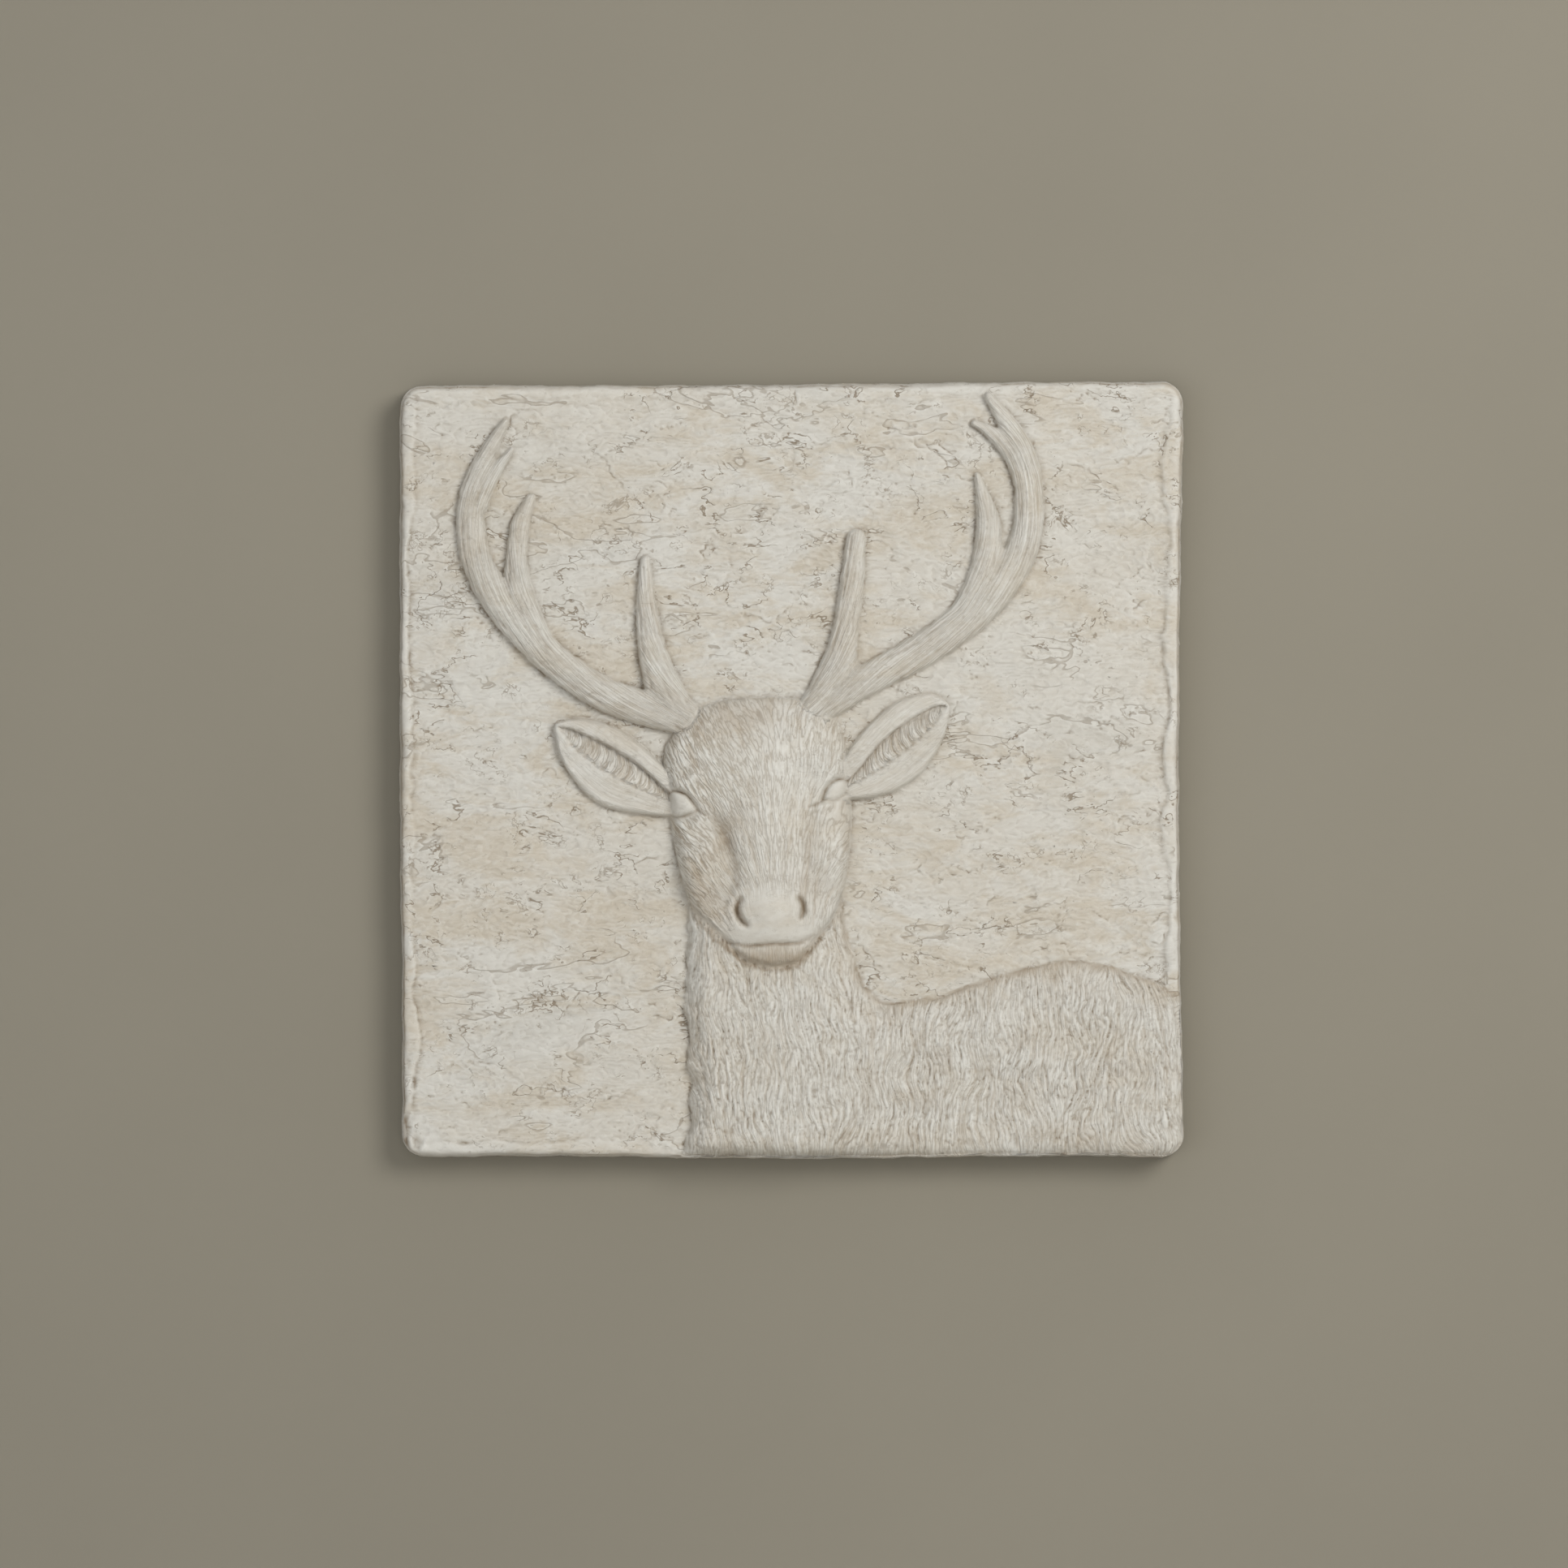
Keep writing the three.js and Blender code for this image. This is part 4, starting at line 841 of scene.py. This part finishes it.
# Chips: across, up, half width, half height, turn in degrees, depth
CHIPS = [
    (0.9, 3.2, 0.7, 2.6, 20, 1.1), (2.5, 2.1, 0.5, 0.9, 0, 1.0), (1.2, 5.6, 0.35, 1.5, 25, 0.8),
    (2.2, 9.8, 0.3, 0.9, 10, 0.6), (8.4, 2.2, 0.6, 0.25, 0, 0.6), (97.6, 3.1, 0.3, 0.5, 0, 0.6),
    (1.5, 12.5, 0.3, 0.6, 0, 0.5), (1.1, 2.0, 0.4, 0.4, 0, 0.7),
]
for *ellipse, depth in CHIPS:
    gouge = swell(GX, GZ, *ellipse)
    tile_front -= depth * np.clip(1.6 * gouge, 0, 1)
    cracks = np.maximum(cracks, 0.55 * np.clip(gouge * 2 - 0.6, 0, 1))

foot_groove = bell(from_foot / 0.4) * ramp(blur(np.clip(lumps + 0.6 * tufts, -1, 1), 0.8), -0.5, 0.8)
beads = ramp(band_noise(2.6, 0.5), 1.3, 2.2) * bell(from_foot / 0.9) * edge_share
tile_front += 0.4 * beads - 0.18 * foot_groove * edge_share
chips = np.maximum(chips, 0.7 * beads)
cracks = np.maximum(cracks, 0.8 * np.clip(blur(beads, 0.6) * 3 - beads, 0, 0.6))
detail = coat * relief_share + 0.35 * ground * relief_share
rise = np.maximum(tile_front, relief + detail)
detail = np.where(rise > tile_front, detail, tile_front)

detail_near = blur(detail, 0.8) - detail
form_near = blur(rise, 0.9) - rise
form_far = blur(rise, 3.5) - rise
# Slopes that face left, away from the key light; they get painted shade below.
shaded_side = ramp(blur(np.gradient(rise, axis=1), 1.2), -0.02, 0.12)
# Darkening of the plaster: brown wash in fine hollows, cracks and the coat's partings, and painted shade in
# broader hollows, round the feet of forms and on the slopes facing away from the key light.
wash_and_shade = np.clip(1.1 * detail_near, 0, 0.7) + np.clip(0.3 * form_near, 0, 0.16 + 0.2 * shaded_side)
wash_and_shade = wash_and_shade + np.clip(0.03 * form_far, 0, 0.03) + 0.55 * cracks * (1 - 0.4 * relief_share)
wash_and_shade = wash_and_shade + 0.5 * furrow * relief_share + (0.2 + 0.25 * shaded_side) * foot_groove + stain_and_shade
wash_and_shade = wash_and_shade + 0.2 * rim_foot * np.clip(0.5 + tufts, 0, 1)
# Painted shade along the tile's left edge, the side away from the key light.
at_left = ramp(tile_x, 8 - half_width, 2 - half_width)
left_painted_shade = 0.25 * rim_foot * np.clip(0.6 + tufts, 0, 1) + 0.16 * ramp(in_from_edge, 4, 1.5)
wash_and_shade = wash_and_shade + at_left * (left_painted_shade + 0.1 * np.clip(lumps, 0, 1))
wash_and_shade = np.clip(wash_and_shade, 0, 1.1)
# Lightening of the plaster: chips, beads and paler tone, raised places partly rubbed and partly painted
# highlight, and painted highlight on the face's patches and nostril rims.
worn_and_highlight = np.clip(-1.2 * detail_near, 0, 0.8) + np.clip(-0.25 * form_near, 0, 0.35)
worn_and_highlight = worn_and_highlight + np.clip(-0.06 * form_far, 0, 0.35) + 0.6 * chips + 0.5 * pale


# Mesh: front grid, rings down the sides, flat back with the hook socket

def placed(name, data):
    thing = bpy.data.objects.new(name, data)
    bpy.context.scene.collection.objects.link(thing)
    return thing


def ring_at(base_x, base_z, normal_x, normal_z, outset, depth):
    x, z = wandered(base_x + normal_x * outset, base_z + normal_z * outset)
    return np.column_stack([x, np.broadcast_to(-depth, x.shape), z])


index = np.arange(X.size).reshape(X.shape)
border = np.concatenate([index[0, :-1], index[:-1, -1], index[-1, :0:-1], index[:0:-1, 0]])
border_x, border_z = tile_x.ravel()[border], tile_z.ravel()[border]
out_x = np.sign(border_x) * np.maximum(np.abs(border_x) - half_width + corner, 0)
out_z = np.sign(border_z) * np.maximum(np.abs(border_z) - half_height + corner, 0)
reach = np.hypot(out_x, out_z)
out_x, out_z = out_x / reach, out_z / reach

front = np.column_stack([X.ravel(), -(GROUND_THICKNESS + rise.ravel()), Z.ravel()])
front_depth = GROUND_THICKNESS + rise.ravel()[border]
SIDE_RINGS = 16
BACK_RINGS = 3
points = [front]
rings = [border]
made = len(front)
count = len(border)


def add_points(more):
    """Adds points to the mesh and gives their numbers."""
    global made
    points.append(more)
    made += len(more)
    return np.arange(made - len(more), made)


def looped(length):
    """Noise that runs round the tile's sides and meets itself."""
    waves = np.fft.rfftfreq(count, GRID_STEP)[None, :]
    down = np.fft.fftfreq(SIDE_RINGS + 1, 0.8)[:, None]
    plain = rng.standard_normal((SIDE_RINGS + 1, count))
    return evened(np.fft.irfft2(np.fft.rfft2(plain) * bell(np.hypot(waves, down) * length), s=plain.shape))


side_noise = 0.12 * looped(4) + 0.06 * looped(1.5)
for step in range(1, SIDE_RINGS + 1):
    t = step / SIDE_RINGS
    depth = front_depth + (BACK_EDGE_ROUNDING - front_depth) * t
    bumpy = side_noise[step] * math.sin(math.pi * t)
    outset = SIDE_DRAFT * t + bumpy - 0.1 * math.sin(math.pi * t)
    rings.append(add_points(ring_at(border_x, border_z, out_x, out_z, outset, depth)))
for step in range(1, BACK_RINGS + 1):
    angle = math.pi / 2 * step / BACK_RINGS
    outset = SIDE_DRAFT - BACK_EDGE_ROUNDING * (1 - math.cos(angle))
    depth = np.full(count, BACK_EDGE_ROUNDING * (1 - math.sin(angle)))
    rings.append(add_points(ring_at(border_x, border_z, out_x, out_z, outset, depth)))


def bands(loops):
    """Quads between each closed ring of points and the next."""
    return [np.column_stack([a, b, np.roll(b, -1), np.roll(a, -1)]) for a, b in zip(loops, loops[1:])]


corners_of_quads = index[:-1, :-1], index[:-1, 1:], index[1:, 1:], index[1:, :-1]
quads = [np.column_stack([grid.ravel() for grid in corners_of_quads])] + bands(rings)

socket_top = HEIGHT / 2 - SOCKET_BELOW_TOP
socket_corners = [
    (-SOCKET_WIDTH / 2, socket_top - SOCKET_HEIGHT), (SOCKET_WIDTH / 2, socket_top - SOCKET_HEIGHT),
    (SOCKET_WIDTH / 2, socket_top), (-SOCKET_WIDTH / 2, socket_top),
]
SOCKET_STEP = 1.0
socket_loop = []
for (ax, az), (bx, bz) in zip(socket_corners, socket_corners[1:] + socket_corners[:1]):
    steps = round(math.hypot(bx - ax, bz - az) / SOCKET_STEP)
    socket_loop += [(ax + (bx - ax) * k / steps, az + (bz - az) * k / steps) for k in range(steps)]
socket_loop = np.array(socket_loop)
SOCKET_RINGS = 9
socket_rings = []
for step in range(SOCKET_RINGS + 1):
    t = step / SOCKET_RINGS
    wobble = 0.22 * rng.standard_normal(socket_loop.shape) * (0.4 if step == 0 else 1)
    inward = -np.sign(socket_loop - [0, socket_top - SOCKET_HEIGHT / 2]) * 0.35 * t
    place = socket_loop + wobble + inward
    depth = np.full(len(place), -SOCKET_DEPTH * t)
    socket_rings.append(add_points(np.column_stack([place[:, 0], depth, place[:, 1]])))
quads += bands(socket_rings)


def fill(outer, hole, loose, loose_depth):
    """Triangles that fill a loop, with a hole and some loose points, all facing the back."""
    every = np.vstack(points)
    ids = np.concatenate([outer, hole]).astype(int)
    flat = [Vector((every[i, 0], every[i, 2])) for i in ids] + [Vector(p) for p in loose]
    edges = [(i, (i + 1) % len(outer)) for i in range(len(outer))]
    start = len(outer)
    edges += [(start + i, start + (i + 1) % len(hole)) for i in range(len(hole))]
    _, _, faces, origins, _, _ = delaunay_2d_cdt(flat, edges, [], 1, 1e-6)
    spots = np.array(loose)
    ids = np.concatenate([ids, add_points(np.column_stack([spots[:, 0], -loose_depth, spots[:, 1]]))])
    found = []
    low, high = (every[hole][:, [0, 2]].min(0), every[hole][:, [0, 2]].max(0)) if len(hole) else (None, None)
    for face in faces:
        corners = [origins[k][0] for k in face]
        middle_point = sum((np.array(flat[k]) for k in corners), np.zeros(2)) / len(corners)
        if len(hole) and (middle_point > low).all() and (middle_point < high).all():
            continue
        a, b, c = (np.array(flat[k]) for k in corners)
        turn = (b[0] - a[0]) * (c[1] - a[1]) - (b[1] - a[1]) * (c[0] - a[0])
        corners = corners[::-1] if turn > 0 else corners
        found.append([ids[k] for k in corners])
    return np.array(found)


BACK_SPACING = 7
back_points = []
for x in np.arange(-WIDTH / 2 + 8, WIDTH / 2 - 8, BACK_SPACING):
    for z in np.arange(-HEIGHT / 2 + 8, HEIGHT / 2 - 8, BACK_SPACING):
        px, pz = x + rng.uniform(-2, 2), z + rng.uniform(-2, 2)
        if abs(px) > SOCKET_WIDTH / 2 + 2 or abs(pz - socket_top + SOCKET_HEIGHT / 2) > SOCKET_HEIGHT / 2 + 2:
            back_points.append((px, pz))
back_depths = rng.uniform(0, 0.12, len(back_points))
triangles = [fill(rings[-1], socket_rings[0], back_points, back_depths)]
socket_middle = socket_top - SOCKET_HEIGHT / 2
floor_points = [(x + rng.uniform(-1, 1), socket_middle + z) for x in (-6, -2, 2, 6) for z in (-3, 1.5)]
floor_depths = SOCKET_DEPTH + rng.uniform(-0.3, 0, len(floor_points))
triangles.append(fill(socket_rings[-1], np.array([], int), floor_points, floor_depths))

all_points = np.vstack(points) * MM
all_quads = np.vstack(quads)
all_triangles = np.vstack(triangles)
mesh = bpy.data.meshes.new("plaque_fine")
mesh.vertices.add(len(all_points))
mesh.vertices.foreach_set("co", all_points.astype(np.float32).ravel())
loops = np.concatenate([all_quads.ravel(), all_triangles.ravel()]).astype(np.int32)
mesh.loops.add(len(loops))
mesh.loops.foreach_set("vertex_index", loops)
quad_starts = np.arange(len(all_quads)) * 4
starts = np.concatenate([quad_starts, len(all_quads) * 4 + np.arange(len(all_triangles)) * 3])
mesh.polygons.add(len(starts))
mesh.polygons.foreach_set("loop_start", starts.astype(np.int32))
mesh.update(calc_edges=True)
mesh.validate()

# What the material reads at each point, and the wash on the sides and the back
PLAIN_WASH = 0.12
for name, values in (
    ("wash_and_shade", wash_and_shade),
    ("worn_and_highlight", worn_and_highlight),
    ("coat", relief_share),
    ("hair", hair),
    ("across", strand_across * MM),
    ("along", strand_along * MM),
    ("spread", spread),
    ("brown", np.clip(brown + 0.3 * stain_and_shade, 0, 1)),
):
    full = np.full(len(all_points), PLAIN_WASH if name == "wash_and_shade" else 0, np.float32)
    full[:X.size] = values.ravel()
    mesh.attributes.new(name, "FLOAT", "POINT").data.foreach_set("value", full)

fine_object = placed("plaque_fine", mesh)
thinning = fine_object.modifiers.new("thinning", "DECIMATE")
thinning.ratio = TRIANGLE_LIMIT / (2 * len(all_quads) + len(all_triangles))
thinned = bpy.data.meshes.new_from_object(fine_object.evaluated_get(bpy.context.evaluated_depsgraph_get()))
bpy.data.objects.remove(fine_object)
bpy.data.meshes.remove(mesh)
thinned.name = "plaque_cast"
plaque = placed("plaque_cast", thinned)
thinned.polygons.foreach_set("use_smooth", np.ones(len(thinned.polygons), bool))


# Plaster

class Nodes:
    """A material's nodes, made and linked in short calls."""

    def __init__(self, name):
        self.material = bpy.data.materials.new(name)
        self.material.use_nodes = True
        self.tree = self.material.node_tree
        self.tree.nodes.clear()
        self.place = self.make("ShaderNodeTexCoord").outputs["Object"]

    def make(self, kind, **settings):
        node = self.tree.nodes.new(kind)
        for key, value in settings.items():
            setattr(node, key, value)
        return node

    def link(self, source, target):
        if hasattr(source, "is_output"):
            self.tree.links.new(source, target)
        else:
            target.default_value = source

    def math(self, operation, first, second=0.0):
        node = self.make("ShaderNodeMath", operation=operation)
        self.link(first, node.inputs[0])
        self.link(second, node.inputs[1])
        return node.outputs[0]

    def times(self, first, second):
        return self.math("MULTIPLY", first, second)

    def between(self, value, low, high, out_low=0.0, out_high=1.0):
        node = self.make("ShaderNodeMapRange", interpolation_type="SMOOTHSTEP")
        for slot, source in zip(node.inputs, (value, low, high, out_low, out_high)):
            self.link(source, slot)
        return node.outputs[0]

    def noise(self, scale, detail=4.0, roughness=0.55, distortion=0.0, vector=None):
        node = self.make("ShaderNodeTexNoise")
        self.link(vector or self.place, node.inputs["Vector"])
        names = "Scale", "Detail", "Roughness", "Distortion"
        for key, value in zip(names, (scale, detail, roughness, distortion)):
            node.inputs[key].default_value = value
        return node.outputs["Fac"]

    def stretched(self, x, y, z):
        node = self.make("ShaderNodeMapping")
        self.link(self.place, node.inputs["Vector"])
        node.inputs["Scale"].default_value = (x, y, z)
        return node.outputs[0]

    def mixed(self, share, first, second, blend="MIX"):
        node = self.make("ShaderNodeMix", data_type="RGBA", blend_type=blend, clamp_factor=True)
        self.link(share, node.inputs[0])
        self.link(first, node.inputs[6])
        self.link(second, node.inputs[7])
        return node.outputs[2]

    def attribute(self, name):
        return self.make("ShaderNodeAttribute", attribute_name=name).outputs["Fac"]

    def finish(self, shader):
        out = self.make("ShaderNodeOutputMaterial")
        self.tree.links.new(shader, out.inputs["Surface"])
        return self.material


PALE_COAT = (0.605, 0.584, 0.53, 1)
WARM = (0.525, 0.465, 0.37, 1)
LIGHT = (0.72, 0.705, 0.65, 1)
# The dark brown of wash, cracks and specks, also used for painted shade.
DIRT_AND_SHADE = (0.215, 0.165, 0.11, 1)
GREY = (0.485, 0.468, 0.42, 1)
BROWN = (0.41, 0.33, 0.235, 1)
BUMP_STRENGTH = 0.8
BUMP_HEIGHT = 0.25 * MM
SHEEN = 0.3


def cracked(n, vector, scale, levels, width, gate):
    """Broken contour lines of a noise: their dark line of wash and painted shade, the painted highlight on
    the edge beside it, and the ledges' height.
    """
    saw = n.math("FRACT", n.times(n.noise(scale, 4, 0.6, 0.35, vector), levels))
    dark = n.times(n.between(saw, 1 - 1.5 * width, 1 - 0.6 * width), gate)
    light = n.times(n.between(saw, 2.2 * width, 0.0), gate)
    height = n.times(n.math("SUBTRACT", 0.5, saw), gate)
    return dark, light, height


def plaster():
    n = Nodes("worn_plaster")
    wash_and_shade_in, worn_and_highlight_in, coat_in, hair_in = (n.attribute(name) for name in ("wash_and_shade", "worn_and_highlight", "coat", "hair"))
    bare = n.math("SUBTRACT", 1.0, n.times(coat_in, 0.8))
    layered = n.stretched(0.4, 1, 1)
    strata = n.between(n.noise(60, 7, 0.66, 0.5, layered), 0.44, 0.6)
    strata = n.times(strata, n.math("SUBTRACT", 0.8, n.times(coat_in, 0.3)))
    patch = n.between(n.noise(13, 5, 0.55, 0.4, n.stretched(0.6, 1, 1)), 0.4, 0.64)
    bleached = n.between(n.noise(24, 6, 0.62, 0.5, n.stretched(0.5, 1, 1)), 0.5, 0.64)
    grey = n.between(n.noise(34, 5, 0.6, 0.4, layered), 0.56, 0.7)
    mottle = n.between(n.noise(260, 6, 0.75, 0.3, n.stretched(0.6, 1, 1)), 0.42, 0.66)

    along_in = n.times(n.attribute("along"), 0.15)
    strokes = []
    for packing in (1.0, 1.9):
        place = n.make("ShaderNodeCombineXYZ")
        n.link(n.times(n.attribute("across"), packing), place.inputs[0])
        n.link(along_in, place.inputs[1])
        from_middle = n.math("SUBTRACT", n.noise(700, 2, 0.5, 0.15, place.outputs[0]), 0.5)
        strokes.append(n.math("ABSOLUTE", from_middle))
    blend = n.make("ShaderNodeMix", data_type="FLOAT")
    for slot, source in zip(blend.inputs, (n.attribute("spread"), None, strokes[0], strokes[1])):
        if source is not None:
            n.link(source, slot)
    stroke = blend.outputs[0]
    lock = n.noise(230, 3, 0.6, 0.5, place.outputs[0])
    dark_hair = n.times(n.between(stroke, 0.06, 0.01), hair_in)
    light_hair = n.times(n.between(stroke, 0.1, 0.2), hair_in)
    dark_lock = n.times(n.between(lock, 0.46, 0.36), hair_in)
    light_lock = n.times(n.between(lock, 0.54, 0.66), hair_in)

    # Cracks, ledges and nicks: dark lines of wash and painted shade, with painted highlight on the edge
    # beside each.
    small_patches = n.between(n.noise(115, 3, 0.6), 0.47, 0.56)
    large_patches = n.between(n.noise(38, 4, 0.55), 0.44, 0.54)
    gate = n.times(n.times(small_patches, large_patches), bare)
    dark_crack, crack_highlight, crack_height = cracked(n, n.stretched(0.62, 1, 1.1), 70, 6.0, 0.08, gate)
    long_gate = n.times(n.between(n.noise(40, 4, 0.6, 0.0, layered), 0.48, 0.54), bare)
    dark_ledge, ledge_highlight, ledge_height = cracked(n, n.stretched(0.42, 1, 1), 34, 5.0, 0.05, long_gate)
    small_gate = n.times(n.between(n.noise(75, 4, 0.6), 0.52, 0.6), bare)
    dark_nick, nick_highlight, nick_height = cracked(n, n.stretched(0.75, 1, 1), 125, 5.0, 0.11, small_gate)
    speck = n.between(n.noise(900, 2, 0.5), 0.69, 0.75)

    ragged = n.times(wash_and_shade_in, n.between(n.noise(260, 4, 0.6), 0.2, 0.75, 0.6, 1.3))
    browned = n.times(n.attribute("brown"), n.between(n.noise(150, 5, 0.65), 0.25, 0.65, 0.6, 1.2))
    # Colour in layers: random tones, lighter rubbed places with painted highlight, painted highlight beside
    # cracks, and brown wash with painted shade.
    colour = n.mixed(strata, PALE_COAT, WARM)
    for share, amount, tone in (
        (patch, 0.4, WARM), (bleached, 0.6, PALE_COAT), (grey, 0.35, GREY), (mottle, 0.28, LIGHT),
        (worn_and_highlight_in, 0.7, LIGHT), (light_lock, 0.55, LIGHT), (light_hair, 0.62, LIGHT), (browned, 0.62, BROWN),
        (crack_highlight, 0.4, LIGHT), (ledge_highlight, 0.3, LIGHT), (ragged, 0.8, DIRT_AND_SHADE), (dark_lock, 0.26, BROWN),
        (dark_hair, 0.34, DIRT_AND_SHADE), (dark_crack, 0.78, DIRT_AND_SHADE), (nick_highlight, 0.3, LIGHT), (dark_nick, 0.5, DIRT_AND_SHADE),
        (dark_ledge, 0.42, DIRT_AND_SHADE), (speck, 0.25, DIRT_AND_SHADE),
    ):
        colour = n.mixed(n.times(share, amount), colour, tone)

    height = n.math("ADD", n.times(n.noise(1500, 3, 0.6), 0.3), n.times(n.noise(300, 5, 0.7), 0.3))
    strands_up = n.math("ADD", n.times(n.between(stroke, 0.0, 0.15), 0.8), n.times(lock, 3.5))
    heights = (strands_up, hair_in), (crack_height, 0.7), (ledge_height, 0.5), (nick_height, 0.4)
    for layer, amount in heights:
        height = n.math("ADD", height, n.times(layer, amount))
    height = n.math("SUBTRACT", height, n.times(n.math("ADD", dark_crack, dark_ledge), 0.6))
    bump = n.make("ShaderNodeBump")
    bump.inputs["Strength"].default_value = BUMP_STRENGTH
    bump.inputs["Distance"].default_value = BUMP_HEIGHT
    n.link(height, bump.inputs["Height"])
    shader = n.make("ShaderNodeBsdfPrincipled")
    n.link(colour, shader.inputs["Base Color"])
    n.link(n.between(n.noise(220, 3), 0.3, 0.7, 0.8, 0.94), shader.inputs["Roughness"])
    shader.inputs["Specular IOR Level"].default_value = SHEEN
    n.link(bump.outputs[0], shader.inputs["Normal"])
    return n.finish(shader.outputs[0])


thinned.materials.append(plaster())
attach(plaque, "root")
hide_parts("plaque")


# Stage, light and camera, in metres

WALL_COLOUR = (0.28, 0.257, 0.206, 1)
FLOOR_COLOUR = (0.72, 0.70, 0.66, 1)


def plane(name, corners, faces, colour, one_sided):
    data = bpy.data.meshes.new(name)
    data.from_pydata(corners, [], faces)
    thing = placed(name, data)
    n = Nodes(name)
    shader = n.make("ShaderNodeBsdfDiffuse")
    tint = n.mixed(n.between(n.noise(3, 3), 0.3, 0.7), colour, tuple(0.94 * c for c in colour[:3]) + (1,))
    n.link(tint, shader.inputs["Color"])
    result = shader.outputs[0]
    if one_sided:
        clear = n.make("ShaderNodeBsdfTransparent")
        choice = n.make("ShaderNodeMixShader")
        n.link(n.make("ShaderNodeNewGeometry").outputs["Backfacing"], choice.inputs[0])
        n.link(result, choice.inputs[1])
        n.link(clear.outputs[0], choice.inputs[2])
        result = choice.outputs[0]
    data.materials.append(n.finish(result))


WALL_GAP = 0.0012
FLOOR_DROP = -0.75
SPAN = 3.0
# The wall is open behind the plaque, a little inside its outline, so that light reaches the back.
OPENING_INSET = 3
OPENING_CHAMFER = 8
open_x, open_z = (half_width - OPENING_INSET) * MM, (half_height - OPENING_INSET) * MM
cut_x, cut_z = open_x - OPENING_CHAMFER * MM, open_z - OPENING_CHAMFER * MM
opening = [(open_x, cut_z), (cut_x, open_z), (-cut_x, open_z), (-open_x, cut_z)]
opening += [(-x, -z) for x, z in opening]
wall_corners = [(x * k, WALL_GAP, z * k) for k in (1, SPAN / open_x) for x, z in opening]
wall_faces = [(i, i + 8, (i + 1) % 8 + 8, (i + 1) % 8) for i in range(8)]
plane("wall", wall_corners, wall_faces, WALL_COLOUR, True)
floor_corners = [(x * SPAN, z * SPAN, FLOOR_DROP) for x, z in ((-1, -1), (1, -1), (1, 1), (-1, 1))]
plane("floor", floor_corners, [(0, 1, 2, 3)], FLOOR_COLOUR, False)


def area_light(name, place, size, power, colour):
    data = bpy.data.lights.new(name, "AREA")
    data.shape = "DISK"
    data.size = size
    data.energy = power
    data.color = colour
    lamp = placed(name, data)
    lamp.location = place
    lamp.rotation_euler = (-Vector(place)).to_track_quat("-Z", "Y").to_euler()


area_light("key", (0.95, -1.5, 0.68), 0.9, 19.6, (1.0, 0.985, 0.96))
area_light("fill", (-0.8, -1.6, -0.4), 1.4, 7, (0.96, 0.98, 1.0))
area_light("back_light", (0.6, 1.6, 0.8), 1.2, 10, (1.0, 0.99, 0.97))
world = bpy.data.worlds.new("studio")
world.use_nodes = True
sky = world.node_tree.nodes["Background"].inputs
sky["Color"].default_value = (0.92, 0.94, 0.97, 1)
sky["Strength"].default_value = 0.52
bpy.context.scene.world = world
bpy.context.scene.view_settings.view_transform = "Standard"

FRAME_WIDTH = 0.5955
CAMERA_DISTANCE = 2.4
FRONT_PLANE = -0.016
SENSOR = 36
camera_data = bpy.data.cameras.new("camera")
camera_data.sensor_width = SENSOR
camera_data.lens = SENSOR * CAMERA_DISTANCE / FRAME_WIDTH
camera_data.clip_start = 0.05
camera = placed("camera", camera_data)
camera.location = (-0.0029, FRONT_PLANE - CAMERA_DISTANCE, -0.0055)
camera.rotation_euler = (math.pi / 2, 0, 0)
bpy.context.scene.camera = camera

bpy.context.view_layer.update()
